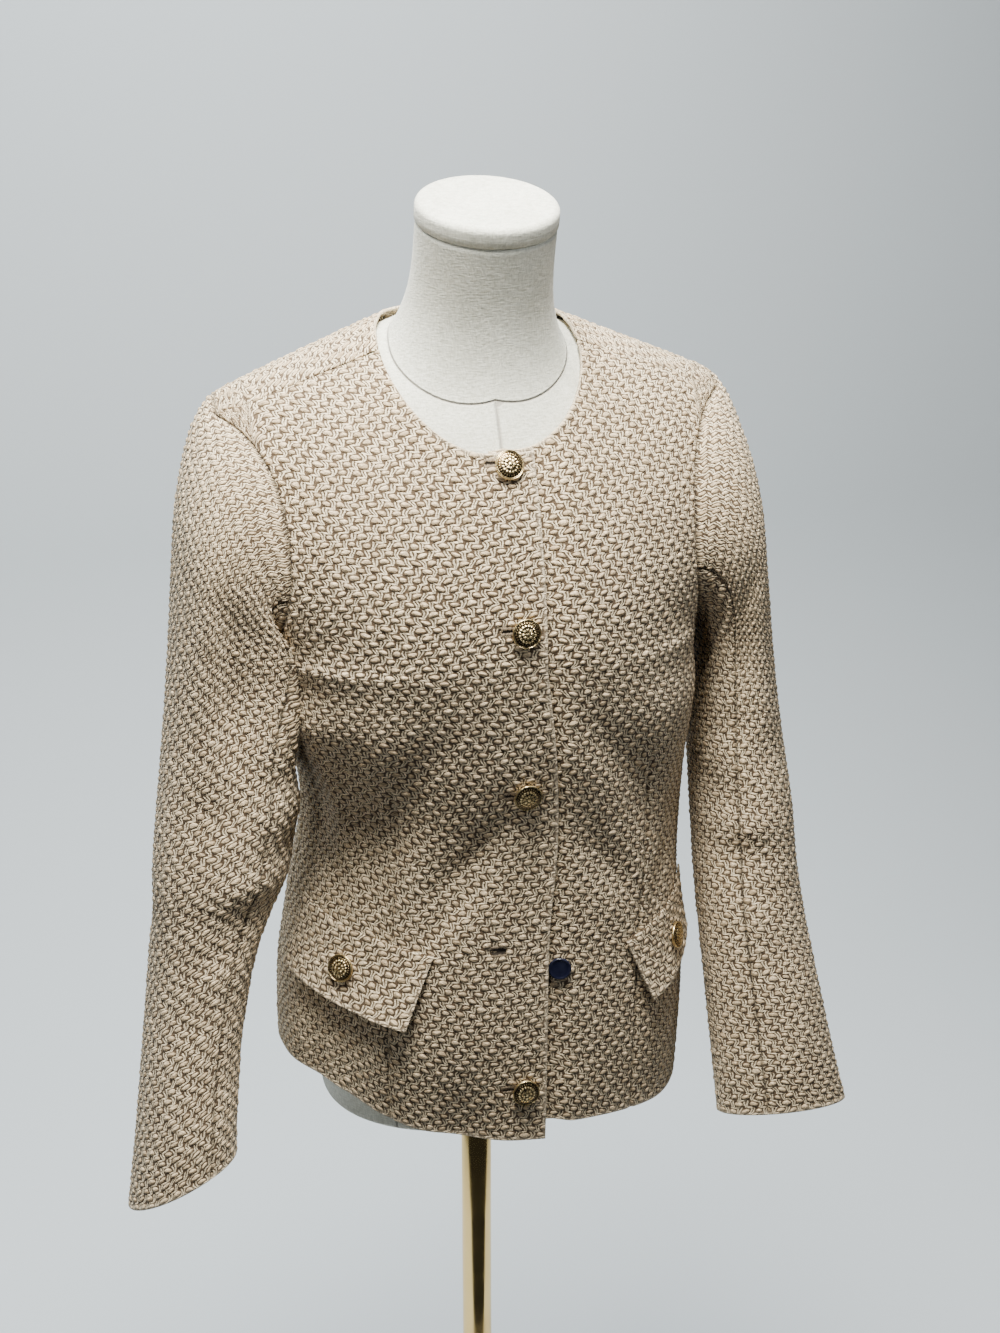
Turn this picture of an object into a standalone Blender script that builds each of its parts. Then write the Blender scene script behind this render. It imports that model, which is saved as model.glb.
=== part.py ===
"""Collarless tweed jacket, buttoned on a limbless dress form with a stand.

Metres, +Z up. The front faces -Y and the wearer's left side is +X.
The origin is the middle of the underside of the stand's base.
"""
import math
from collections import namedtuple

import bmesh
import bpy
from mathutils import Vector

for old in list(bpy.data.objects):
    bpy.data.objects.remove(old, do_unlink=True)

# Cloth and seams
WALL = 0.0025
SEAM_GAP = 0.0003
CLEAR = 0.0004

# Levels and the shoulder line
ARMPIT_Z = 1.095
NECK_POINT_X = 0.0745
NECK_POINT_Z = 1.326
SHOULDER_TIP_X = 0.194
SHOULDER_TIP_Z = 1.278
RIDGE_Y = 0.015
SEAM_LIFT = 72.0
SHOULDER_SLOPE = (NECK_POINT_Z - SHOULDER_TIP_Z) / (SHOULDER_TIP_X - NECK_POINT_X)
SHOULDER_SPREAD = 0.021

# Front closing
CLOSING_X = 0.005
LAP = 0.0165
LAP_FADE = 0.035

# Faces of the body, and how round each turns over the shoulder
FRONT = 1
BACK = -1
TURN = {FRONT: 1.7, BACK: 2.6}
SEAM_AT = {FRONT: SEAM_LIFT, BACK: 180 - SEAM_LIFT}

# Grid of the cut pieces
NECK_COLUMNS = 8
SHOULDER_COLUMNS = 6
COLUMNS = NECK_COLUMNS + SHOULDER_COLUMNS
BODY_ROWS = 17
YOKE_ROWS = 12
SLEEVE_ROWS = 24
FRONT_SEAM = 3
BACK_SEAM = 2 * YOKE_ROWS - 3

# Level sections of the jacket and of the form under it
Section = namedtuple("Section", "z half_width front back square shift")
BODY = (
    Section(0.690, 0.166, 0.137, 0.114, 2.3, 0.000),
    Section(0.800, 0.168, 0.134, 0.114, 2.3, 0.002),
    Section(0.880, 0.159, 0.128, 0.104, 2.3, 0.006),
    Section(0.960, 0.153, 0.123, 0.094, 2.3, 0.014),
    Section(1.030, 0.158, 0.129, 0.100, 2.3, 0.009),
    Section(1.095, 0.170, 0.133, 0.108, 2.3, 0.000),
)
FORM = (
    Section(0.703, 0.130, 0.098, 0.088, 2.2, 0.0),
    Section(0.800, 0.138, 0.106, 0.094, 2.2, 0.0),
    Section(0.960, 0.117, 0.097, 0.076, 2.2, 0.0),
    Section(1.030, 0.132, 0.110, 0.085, 2.2, 0.0),
    Section(1.095, 0.156, 0.121, 0.095, 2.3, 0.0),
)

# Hem height round the body, as an angle from the middle of the front
Hem = namedtuple("Hem", "angle z")
HEM = (
    Hem(-180, 0.730),
    Hem(-120, 0.745),
    Hem(-90, 0.753),
    Hem(-50, 0.744),
    Hem(-22, 0.721),
    Hem(8, 0.708),
    Hem(45, 0.706),
    Hem(90, 0.704),
    Hem(140, 0.715),
    Hem(180, 0.730),
)
UNDER_HEM_RISE = 0.015

# Edges of the yoke: the armhole's distance from the middle, from armpit to shoulder
Armhole = namedtuple("Armhole", "share front back")
ARMHOLE = (
    Armhole(0.00, 0.170, 0.170),
    Armhole(0.15, 0.159, 0.163),
    Armhole(0.35, 0.153, 0.163),
    Armhole(0.60, 0.157, 0.172),
    Armhole(0.80, 0.171, 0.189),
    Armhole(1.00, 0.192, 0.192),
)

# A yoke is a body's top: its sections, neckline and how far it lies in from the cloth
Yoke = namedtuple("Yoke", "sections tip_drop neck_drop neck_x front_lift back_lift armhole_in")
CLOTH = Yoke(BODY, 0.0, 0.0, NECK_POINT_X, 41.0, 66.0, 0.0)
STAND = Yoke(FORM, 0.0030, 0.0065, 0.066, 50.0, 76.0, 0.012)

# Largest folds of the body: a trough is negative
Fold = namedtuple("Fold", "angle z depth half_angle half_height lean")
BODY_FOLDS = (
    Fold(-52, 0.965, -0.010, 13, 0.070, 90),
    Fold(-30, 1.000, -0.005, 9, 0.060, 160),
    Fold(-74, 0.965, -0.010, 11, 0.055, 30),
    Fold(-22, 0.925, -0.004, 9, 0.050, 160),
    Fold(-33, 0.790, 0.005, 9, 0.070, 20),
    Fold(-70, 0.780, 0.004, 10, 0.060, 0),
    Fold(34, 0.990, -0.006, 10, 0.060, -130),
    Fold(60, 0.950, -0.006, 12, 0.060, -60),
    Fold(45, 0.780, 0.004, 10, 0.070, 0),
    Fold(150, 0.930, -0.005, 12, 0.060, 40),
    Fold(-150, 0.930, -0.005, 12, 0.060, -40),
)

# Sleeve guides from armhole to cuff: outer line, inner line, middle and half depth
Guide = namedtuple("Guide", "level outer_x outer_z inner_x inner_z middle_y half_depth")
SLEEVE_RIGHT = (
    Guide(0, 0.194, 1.275, 0.170, 1.095, -0.005, 0.078),
    Guide(1, 0.207, 1.269, 0.173, 1.089, -0.006, 0.078),
    Guide(2, 0.217, 1.246, 0.173, 1.078, -0.009, 0.075),
    Guide(3, 0.227, 1.190, 0.167, 1.055, -0.018, 0.069),
    Guide(4, 0.237, 1.110, 0.156, 1.022, -0.031, 0.062),
    Guide(5, 0.247, 1.035, 0.147, 0.980, -0.042, 0.057),
    Guide(6, 0.258, 0.950, 0.158, 0.930, -0.053, 0.054),
    Guide(7, 0.268, 0.880, 0.185, 0.880, -0.065, 0.051),
    Guide(8, 0.280, 0.805, 0.202, 0.820, -0.083, 0.048),
    Guide(9, 0.291, 0.740, 0.211, 0.767, -0.101, 0.046),
    Guide(10, 0.300, 0.692, 0.216, 0.727, -0.114, 0.045),
)
SLEEVE_LEFT = (
    Guide(0, 0.194, 1.275, 0.170, 1.095, -0.005, 0.078),
    Guide(1, 0.205, 1.267, 0.173, 1.089, -0.006, 0.078),
    Guide(2, 0.2125, 1.240, 0.175, 1.078, -0.008, 0.075),
    Guide(3, 0.2205, 1.185, 0.176, 1.055, -0.011, 0.068),
    Guide(4, 0.230, 1.110, 0.175, 1.022, -0.017, 0.060),
    Guide(5, 0.238, 1.030, 0.173, 0.980, -0.027, 0.054),
    Guide(6, 0.246, 0.945, 0.171, 0.925, -0.042, 0.049),
    Guide(7, 0.254, 0.875, 0.170, 0.865, -0.060, 0.045),
    Guide(8, 0.265, 0.800, 0.171, 0.797, -0.083, 0.040),
    Guide(9, 0.276, 0.737, 0.173, 0.737, -0.100, 0.037),
    Guide(10, 0.286, 0.690, 0.175, 0.692, -0.111, 0.035),
)
HEAD_LEVELS = 3

# Largest folds of the sleeves, with the turn measured from the underarm towards the front
SleeveFold = namedtuple("SleeveFold", "level turn depth half_level half_turn lean")
SLEEVE_FOLDS = (
    SleeveFold(3.6, 75, -0.006, 0.9, 26, 22),
    SleeveFold(5.6, 40, -0.005, 0.4, 34, 10),
    SleeveFold(6.4, 60, -0.006, 0.35, 40, 8),
    SleeveFold(6.0, 150, 0.004, 0.8, 40, 0),
    SleeveFold(7.6, 95, -0.003, 0.5, 40, -10),
    SleeveFold(4.2, 250, -0.005, 0.7, 34, -15),
)

# Pocket flaps, with each edge as an angle from the middle of the front
Flap = namedtuple("Flap", "name side inner outer inner_z outer_z height slant lift")
FLAPS = (
    Flap("right", -1, 22, 76, 0.873, 0.897, 0.055, 6, 0.0030),
    Flap("left", 1, 29, 73, 0.862, 0.886, 0.058, 8, 0.0050),
)
FLAP_COLUMNS = 14
FLAP_ROWS = 6

# Buttons
BUTTON_RADIUS = 0.0107
BUTTON_THICK = 0.0046
DARK_BUTTON_RADIUS = 0.0088
DARK_BUTTON_THICK = 0.0024
BUTTON_STEPS = 18
BUTTON_SEAT = 0.0006
FLAP_BUTTON_SHARE = 0.52
FrontButton = namedtuple("FrontButton", "number x z")
FRONT_BUTTONS = (
    FrontButton(1, 0.001, 1.240),
    FrontButton(2, 0.005, 1.126),
    FrontButton(3, 0.008, 0.998),
    FrontButton(5, 0.005, 0.754),
)
DARK_BUTTON_Z = 0.853

# Neck, cap, pole and base of the stand
CAP_CENTRE = Vector((0.003, -0.030, 1.400))
CAP_HALF_WIDTH = 0.0515
CAP_HALF_DEPTH = 0.0495
CAP_TILT = math.radians(17)
CAP_THICK = 0.015
CAP_EDGE = 0.004
NECK_ROWS = 6
TORSO_BOTTOM_Z = 0.703
TORSO_EDGE = 0.014
POLE_RADIUS = 0.0127
POLE_STEPS = 24
BASE_RADIUS = 0.165
BASE_THICK = 0.012
BASE_EDGE = 0.003
BASE_STEPS = 64


# Curves through short tables
def along(rows, column, at):
    """Smooth value of one column at a place on a table's first column."""
    keys = [row[0] for row in rows]
    values = [getattr(row, column) for row in rows]
    at = min(max(at, keys[0]), keys[-1])
    step = 0
    while step < len(keys) - 2 and at > keys[step + 1]:
        step += 1

    def slope(index):
        low = max(index - 1, 0)
        high = min(index + 1, len(keys) - 1)
        return (values[high] - values[low]) / (keys[high] - keys[low])

    span = keys[step + 1] - keys[step]
    t = (at - keys[step]) / span
    start = values[step] * (2 * t**3 - 3 * t**2 + 1) + slope(step) * span * (t**3 - 2 * t**2 + t)
    end = values[step + 1] * (3 * t**2 - 2 * t**3) + slope(step + 1) * span * (t**3 - t**2)
    return start + end


def smooth(value):
    value = min(max(value, 0.0), 1.0)
    return value * value * (3 - 2 * value)


def signed_power(value, power):
    return math.copysign(abs(value) ** power, value)


# The body below the armpits, as an angle from the middle of the front and a height
def body_fold(angle, z):
    total = 0.0
    for fold in BODY_FOLDS:
        away = angle - fold.angle - fold.lean * (z - fold.z)
        rise = (z - fold.z) / fold.half_height
        total += fold.depth * math.exp(-((away / fold.half_angle) ** 2) - rise**2)
    return total * smooth((ARMPIT_Z - z) / 0.05)


def body_point(angle, z, sections=BODY, folds=True):
    sine = math.sin(math.radians(angle))
    cosine = math.cos(math.radians(angle))
    half_width = along(sections, "half_width", z)
    depth = along(sections, "front" if cosine > 0 else "back", z)
    power = 2 / along(sections, "square", z)
    x = along(sections, "shift", z) + half_width * signed_power(sine, power)
    point = Vector((x, -depth * signed_power(cosine, power), z))
    if folds:
        point += Vector((sine, -cosine, 0)) * body_fold(angle, z)
    return point


def body_normal(angle, z):
    across = body_point(angle + 0.5, z) - body_point(angle - 0.5, z)
    up = body_point(angle, z + 0.002) - body_point(angle, z - 0.002)
    return across.cross(up).normalized()


def hem_z(angle):
    return along(HEM, "z", angle)


# The body above the armpits, as a distance from the middle and a lift of 0 to 90 degrees
def ridge_z(x, yoke=CLOTH):
    along_seam = (abs(x) - NECK_POINT_X) / (SHOULDER_TIP_X - NECK_POINT_X)
    neck_z = NECK_POINT_Z - yoke.neck_drop
    tip_z = SHOULDER_TIP_Z - yoke.tip_drop
    return neck_z + (tip_z - neck_z) * along_seam


def yoke_point(x, lift, face, yoke=CLOTH):
    if lift > 90:
        return yoke_point(x, 180 - lift, -face, yoke)
    sine = math.sin(math.radians(lift))
    cosine = max(math.cos(math.radians(lift)), 0.0)
    section = yoke.sections[-1]
    reach = section.half_width + (SHOULDER_TIP_X + SHOULDER_SPREAD - section.half_width) * sine
    flat = max(1 - (abs(x) / reach) ** section.square, 0.0) ** (1 / section.square)
    depth = section.front if face == FRONT else section.back
    power = 2 / TURN[face]
    y = RIDGE_Y + (-face * depth * flat - RIDGE_Y) * cosine**power
    z = ARMPIT_Z + (ridge_z(x, yoke) - ARMPIT_Z) * sine**power
    return Vector((x, y, z))


def yoke_normal(x, lift, face):
    if lift > 91:
        return yoke_normal(x, 180 - lift, -face)
    if lift > 89:
        return Vector((math.copysign(SHOULDER_SLOPE, x), 0, 1)).normalized()
    across = yoke_point(x + 0.001, lift, face) - yoke_point(x - 0.001, lift, face)
    up = yoke_point(x, lift + 0.5, face) - yoke_point(x, max(lift - 0.5, 0), face)
    return (across.cross(up) * face).normalized()


def yoke_grid(edge_x, face, yoke=CLOTH):
    """Distance and lift of each point of half a yoke, from the middle to the armhole."""
    section = yoke.sections[-1]
    middle_lift = yoke.front_lift if face == FRONT else yoke.back_lift
    edge_angle = math.asin(signed_power(edge_x / section.half_width, section.square / 2))
    edge_turn = math.asin(edge_x / yoke.neck_x)
    tip_x = ARMHOLE[-1].front - yoke.armhole_in

    def bottom(s):
        angle = edge_angle + s * (math.pi / 2 - edge_angle)
        return section.half_width * signed_power(math.sin(angle), 2 / section.square), 0.0

    def top(s):
        share = s * COLUMNS
        if share <= NECK_COLUMNS:
            turn = edge_turn + share / NECK_COLUMNS * (math.pi / 2 - edge_turn)
            rise = (SEAM_AT[face] - middle_lift) * (1 - math.cos(turn))
            return yoke.neck_x * math.sin(turn), middle_lift + rise
        share = (share - NECK_COLUMNS) / SHOULDER_COLUMNS
        return yoke.neck_x + share * (tip_x - yoke.neck_x), SEAM_AT[face]

    def armhole(v):
        inwards = yoke.armhole_in * smooth(v * 3) + (1 - smooth(v * 3)) * (0.170 - section.half_width)
        return along(ARMHOLE, "front" if face == FRONT else "back", v) - inwards, SEAM_AT[face] * v

    low_edge, low_side, high_edge, high_side = bottom(0), bottom(1), top(0), top(1)
    grid = []
    for row in range(YOKE_ROWS + 1):
        v = row / YOKE_ROWS
        line = []
        for column in range(COLUMNS + 1):
            s = column / COLUMNS
            place = []
            for axis in (0, 1):
                edge = edge_x if axis == 0 else v * middle_lift
                rows = (1 - v) * bottom(s)[axis] + v * top(s)[axis]
                columns = (1 - s) * edge + s * armhole(v)[axis]
                corners = (1 - s) * ((1 - v) * low_edge[axis] + v * high_edge[axis])
                corners += s * ((1 - v) * low_side[axis] + v * high_side[axis])
                place.append(rows + columns - corners)
            line.append(place)
        grid.append(line)
    return grid


# The armhole seam, which body and sleeve share
def armhole_point(side, share, face):
    x = along(ARMHOLE, "front" if face == FRONT else "back", share)
    return yoke_point(side * x, SEAM_AT[face] * share, face)


def armhole_normal(side, share, face):
    turn = math.radians(2 * SEAM_AT[face]) * share
    return Vector((0.6 * side, -face * math.sin(turn), -math.cos(turn))).normalized()


# Solids
def new_object(name, mesh_data, colour, roughness, metallic):
    material = bpy.data.materials.new(name + "_material")
    material.use_nodes = True
    shader = material.node_tree.nodes["Principled BSDF"]
    shader.inputs["Base Color"].default_value = (*colour, 1)
    shader.inputs["Roughness"].default_value = roughness
    shader.inputs["Metallic"].default_value = metallic
    mesh = bpy.data.meshes.new(name)
    bmesh.ops.recalc_face_normals(mesh_data, faces=mesh_data.faces)
    mesh_data.to_mesh(mesh)
    mesh_data.free()
    mesh.materials.append(material)
    piece = bpy.data.objects.new(name, mesh)
    bpy.context.collection.objects.link(piece)
    return piece


TWEED = ((0.69, 0.58, 0.46), 0.95, 0.0)
GILT = ((0.72, 0.53, 0.25), 0.3, 1.0)
NAVY = ((0.012, 0.014, 0.045), 0.5, 0.0)
LINEN = ((0.80, 0.78, 0.72), 0.85, 0.0)
BRASS = ((0.86, 0.62, 0.24), 0.15, 1.0)


def wall_solid(name, outer, inner, finish):
    """Closed wall between two grids of points that have the same rows and columns."""
    mesh_data = bmesh.new()
    skins = []
    for grid in (outer, inner):
        skins.append([[mesh_data.verts.new(point) for point in line] for line in grid])
    rows = len(outer) - 1
    columns = len(outer[0]) - 1
    for skin in skins:
        for row in range(rows):
            for column in range(columns):
                low, high = skin[row], skin[row + 1]
                mesh_data.faces.new((low[column], low[column + 1], high[column + 1], high[column]))
    rim = [(0, column) for column in range(columns)]
    rim += [(row, columns) for row in range(rows)]
    rim += [(rows, column) for column in range(columns, 0, -1)]
    rim += [(row, 0) for row in range(rows, 0, -1)]
    for index, (row, column) in enumerate(rim):
        next_row, next_column = rim[(index + 1) % len(rim)]
        outside = skins[0][row][column]
        inside = skins[1][row][column]
        next_outside = skins[0][next_row][next_column]
        next_inside = skins[1][next_row][next_column]
        if (next_row, next_column) > (row, column):
            mesh_data.faces.new((outside, next_outside, next_inside))
            mesh_data.faces.new((outside, next_inside, inside))
        else:
            mesh_data.faces.new((outside, next_outside, inside))
            mesh_data.faces.new((next_outside, next_inside, inside))
    return new_object(name, mesh_data, *finish)


def ring_solid(name, rings, finish):
    """Closed solid through rings of points, with a fan at each end."""
    mesh_data = bmesh.new()
    loops = [[mesh_data.verts.new(point) for point in ring] for ring in rings]
    for low, high in zip(loops, loops[1:]):
        for index in range(len(low)):
            after = (index + 1) % len(low)
            mesh_data.faces.new((low[index], low[after], high[after], high[index]))
    for loop in (loops[0], loops[-1]):
        centre = sum((vert.co for vert in loop), Vector()) / len(loop)
        middle = mesh_data.verts.new(centre)
        for index in range(len(loop)):
            mesh_data.faces.new((loop[index], loop[(index + 1) % len(loop)], middle))
    return new_object(name, mesh_data, *finish)


def draw_in(grid, sides):
    """Move a grid's named borders in by half a seam gap."""
    rows = len(grid) - 1
    columns = len(grid[0]) - 1
    moved = [[point.copy() for point in line] for line in grid]
    half = SEAM_GAP / 2
    for side, first, last in sides:
        for index in range(first, last + 1):
            row, column, near_row, near_column = {
                "start": (index, 0, index, 1),
                "end": (index, columns, index, columns - 1),
                "top": (rows, index, rows - 1, index),
            }[side]
            moved[row][column] += (grid[near_row][near_column] - grid[row][column]).normalized() * half
    return moved


# Fronts and back
def angle_at(x):
    """Angle from the middle of the front that a distance at the armpits has."""
    section = BODY[-1]
    return math.degrees(math.asin(signed_power(x / section.half_width, section.square / 2)))


def half_body(side, face, edge_x, hem_rise=0.0):
    """Points and normals of half a front or back, from its middle or edge to the side seam."""
    edge_angle = angle_at(edge_x)
    points = []
    normals = []
    for row in range(BODY_ROWS):
        line = []
        line_normals = []
        for column in range(COLUMNS + 1):
            angle = edge_angle + column / COLUMNS * (90 - edge_angle)
            around = side * angle if face == FRONT else side * (180 - angle)
            low = hem_z(around) + hem_rise * (1 - smooth(angle / 60))
            z = low + row / BODY_ROWS * (ARMPIT_Z - low)
            line.append(body_point(around, z))
            line_normals.append(body_normal(around, z))
        points.append(line)
        normals.append(line_normals)
    for row, places in enumerate(yoke_grid(edge_x, face)):
        line = [yoke_point(side * x, lift, face) for x, lift in places]
        line_normals = [yoke_normal(side * x, lift, face) for x, lift in places]
        line[-1] = armhole_point(side, row / YOKE_ROWS, face)
        line_normals[-1] = armhole_normal(side, row / YOKE_ROWS, face)
        points.append(line)
        normals.append(line_normals)
    return points, normals


def offset(points, normals, distance):
    return [[p + n * distance for p, n in zip(line, dirs)] for line, dirs in zip(points, normals)]


def under_step(x):
    """How far the left front lies in, where the right one laps over it."""
    return (WALL + 2 * CLEAR) * (1 - smooth((x - CLOSING_X - LAP - 0.004) / LAP_FADE))


def front(name, side, edge_x, hem_rise, under):
    points, normals = half_body(side, FRONT, edge_x, hem_rise)
    if under:
        for line, directions in zip(points, normals):
            for column in range(COLUMNS + 1):
                line[column] -= directions[column] * under_step(line[column].x)
    borders = (("end", 0, BODY_ROWS), ("top", NECK_COLUMNS, COLUMNS))
    outer = draw_in(points, borders)
    inner = draw_in(offset(points, normals, -WALL), borders)
    wall_solid(name, outer, inner, TWEED)


front("front_right", -1, -(CLOSING_X + LAP), 0.0, False)
front("front_left", 1, CLOSING_X - LAP, UNDER_HEM_RISE, True)

back_points = []
back_normals = []
right_half = half_body(-1, BACK, 0.0)
left_half = half_body(1, BACK, 0.0)
for right, left in zip(right_half[0], left_half[0]):
    back_points.append(list(reversed(right)) + left[1:])
for right, left in zip(right_half[1], left_half[1]):
    back_normals.append(list(reversed(right)) + left[1:])
BACK_BORDERS = (
    ("start", 0, BODY_ROWS),
    ("end", 0, BODY_ROWS),
    ("top", 0, SHOULDER_COLUMNS),
    ("top", COLUMNS + NECK_COLUMNS, 2 * COLUMNS),
)
wall_solid(
    "back",
    draw_in(back_points, BACK_BORDERS),
    draw_in(offset(back_points, back_normals, -WALL), BACK_BORDERS),
    TWEED,
)


# Sleeves: a ring starts at the underarm and turns to the front, the top and the back
def sleeve_fold(level, turn):
    total = 0.0
    for fold in SLEEVE_FOLDS:
        rise = (level - fold.level - (turn - fold.turn) / 360 * fold.lean / 10) / fold.half_level
        total += fold.depth * math.exp(-rise**2 - ((turn - fold.turn) / fold.half_turn) ** 2)
    return total


def sleeve_point(guides, side, level, index):
    if index <= YOKE_ROWS:
        start = armhole_point(side, index / YOKE_ROWS, FRONT)
    else:
        start = armhole_point(side, 2 - index / YOKE_ROWS, BACK)
    first = guides[0]
    ahead = (first.middle_y - start.y) / first.half_depth
    below = (first.outer_z + first.inner_z - 2 * start.z) / (first.outer_z - first.inner_z)
    turn = math.atan2(ahead, below) % (2 * math.pi)
    middle_y = along(guides, "middle_y", level)
    outer = Vector((side * along(guides, "outer_x", level), middle_y, along(guides, "outer_z", level)))
    inner = Vector((side * along(guides, "inner_x", level), middle_y, along(guides, "inner_z", level)))
    reach = (outer - inner) / 2
    fold = sleeve_fold(level, math.degrees(turn))
    depth = along(guides, "half_depth", level) + fold
    width = 1 + fold / reach.length
    oval = (outer + inner) / 2 - reach * math.cos(turn) * width - Vector((0, 1, 0)) * depth * math.sin(turn)
    return start.lerp(oval, smooth(level / HEAD_LEVELS))


def sleeve(side, guides, name):
    levels = guides[-1].level
    count = 2 * YOKE_ROWS
    points = []
    for row in range(SLEEVE_ROWS + 1):
        level = levels * row / SLEEVE_ROWS
        points.append([sleeve_point(guides, side, level, index) for index in range(count)])
    normals = []
    for row in range(SLEEVE_ROWS + 1):
        line = []
        for index in range(count):
            around = points[row][(index + 1) % count] - points[row][index - 1]
            down = points[min(row + 1, SLEEVE_ROWS)][index] - points[max(row - 1, 0)][index]
            line.append((down.cross(around) * side).normalized())
        normals.append(line)
    for index in range(count):
        face = FRONT if index <= YOKE_ROWS else BACK
        share = index / YOKE_ROWS if index <= YOKE_ROWS else 2 - index / YOKE_ROWS
        seam_normal = armhole_normal(side, share, face)
        for row in range(HEAD_LEVELS):
            normals[row][index] = seam_normal.lerp(normals[row][index], row / HEAD_LEVELS).normalized()
        around = points[0][(index + 1) % count] - points[0][index - 1]
        away = normals[0][index].cross(around).normalized()
        if away.x * side < 0:
            away.negate()
        points[0][index] += away * SEAM_GAP
    inner = offset(points, normals, -WALL)
    borders = (("start", 0, SLEEVE_ROWS), ("end", 0, SLEEVE_ROWS))
    upper = range(FRONT_SEAM, BACK_SEAM + 1)
    under = list(range(BACK_SEAM, count)) + list(range(FRONT_SEAM + 1))
    for piece, columns in (("upper", upper), ("under", under)):
        skins = []
        for grid in (points, inner):
            skins.append(draw_in([[line[index] for index in columns] for line in grid], borders))
        wall_solid(f"sleeve_{name}_{piece}", skins[0], skins[1], TWEED)


sleeve(-1, SLEEVE_RIGHT, "right")
sleeve(1, SLEEVE_LEFT, "left")


# Pocket flaps, made from the front's points moved out
def flap_place(flap, across, down):
    inner = flap.inner + flap.slant * down
    angle = inner + across * (flap.outer - inner)
    z = flap.inner_z + across * (flap.outer_z - flap.inner_z) - down * flap.height
    return flap.side * angle, z


def flap_point(flap, across, down):
    angle, z = flap_place(flap, across, down)
    lift = CLEAR + WALL + flap.lift * down**2
    return body_point(angle, z) + body_normal(angle, z) * lift


def button_solid(name, seat, normal, radius, thick, profile, finish):
    """Turned button: the profile gives shares of the radius and of the thickness."""
    across = normal.orthogonal().normalized()
    along_face = normal.cross(across)
    rings = []
    for share, rise in profile:
        ring = []
        for step in range(BUTTON_STEPS):
            turn = 2 * math.pi * step / BUTTON_STEPS
            spoke = across * math.cos(turn) + along_face * math.sin(turn)
            ring.append(seat + normal * (rise * thick) + spoke * (share * radius))
        rings.append(ring)
    ring_solid(name, rings, finish)


DOMED = ((0.80, 0.0), (0.97, 0.14), (1.0, 0.36), (0.93, 0.50), (0.84, 0.40), (0.62, 0.80), (0.30, 1.0))
FLAT = ((0.90, 0.0), (1.0, 0.25), (1.0, 0.75), (0.90, 1.0))

for flap in FLAPS:
    outer = []
    inner = []
    for row in range(FLAP_ROWS + 1):
        outer_line = []
        inner_line = []
        for column in range(FLAP_COLUMNS + 1):
            across = column / FLAP_COLUMNS
            down = row / FLAP_ROWS
            point = flap_point(flap, across, down)
            normal = body_normal(*flap_place(flap, across, down))
            outer_line.append(point)
            inner_line.append(point - normal * WALL)
        outer.append(outer_line)
        inner.append(inner_line)
    wall_solid(f"flap_{flap.name}", outer, inner, TWEED)
    middle = flap_point(flap, 0.5, FLAP_BUTTON_SHARE)
    across = flap_point(flap, 0.6, FLAP_BUTTON_SHARE) - flap_point(flap, 0.4, FLAP_BUTTON_SHARE)
    down = flap_point(flap, 0.5, FLAP_BUTTON_SHARE + 0.1) - flap_point(flap, 0.5, FLAP_BUTTON_SHARE - 0.1)
    direction = (down.cross(across) * flap.side).normalized()
    seat = middle + direction * BUTTON_SEAT
    button_solid(f"button_flap_{flap.name}", seat, direction, BUTTON_RADIUS, BUTTON_THICK, DOMED, GILT)


# Front buttons
def front_place(x, z):
    if z > ARMPIT_Z:
        share = (z - ARMPIT_Z) / (ridge_z(x) - ARMPIT_Z)
        lift = math.degrees(math.asin(share ** (TURN[FRONT] / 2)))
        return yoke_point(x, lift, FRONT), yoke_normal(x, lift, FRONT)
    half_width = along(BODY, "half_width", z)
    across = (x - along(BODY, "shift", z)) / half_width
    angle = math.degrees(math.asin(signed_power(across, along(BODY, "square", z) / 2)))
    return body_point(angle, z), body_normal(angle, z)


for button in FRONT_BUTTONS:
    place, direction = front_place(button.x, button.z)
    seat = place + direction * BUTTON_SEAT
    button_solid(f"button_front_{button.number}", seat, direction, BUTTON_RADIUS, BUTTON_THICK, DOMED, GILT)


def under_place(x, z):
    place, direction = front_place(x, z)
    return place - direction * under_step(x)


edge = body_point(angle_at(CLOSING_X + LAP), DARK_BUTTON_Z)
dark_x = edge.x + DARK_BUTTON_RADIUS + 2 * CLEAR
across = under_place(dark_x + 0.006, DARK_BUTTON_Z) - under_place(dark_x - 0.006, DARK_BUTTON_Z)
up = under_place(dark_x, DARK_BUTTON_Z + 0.006) - under_place(dark_x, DARK_BUTTON_Z - 0.006)
direction = across.cross(up).normalized()
seat = under_place(dark_x, DARK_BUTTON_Z) + direction * BUTTON_SEAT
button_solid("button_front_4", seat, direction, DARK_BUTTON_RADIUS, DARK_BUTTON_THICK, FLAT, NAVY)


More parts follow.
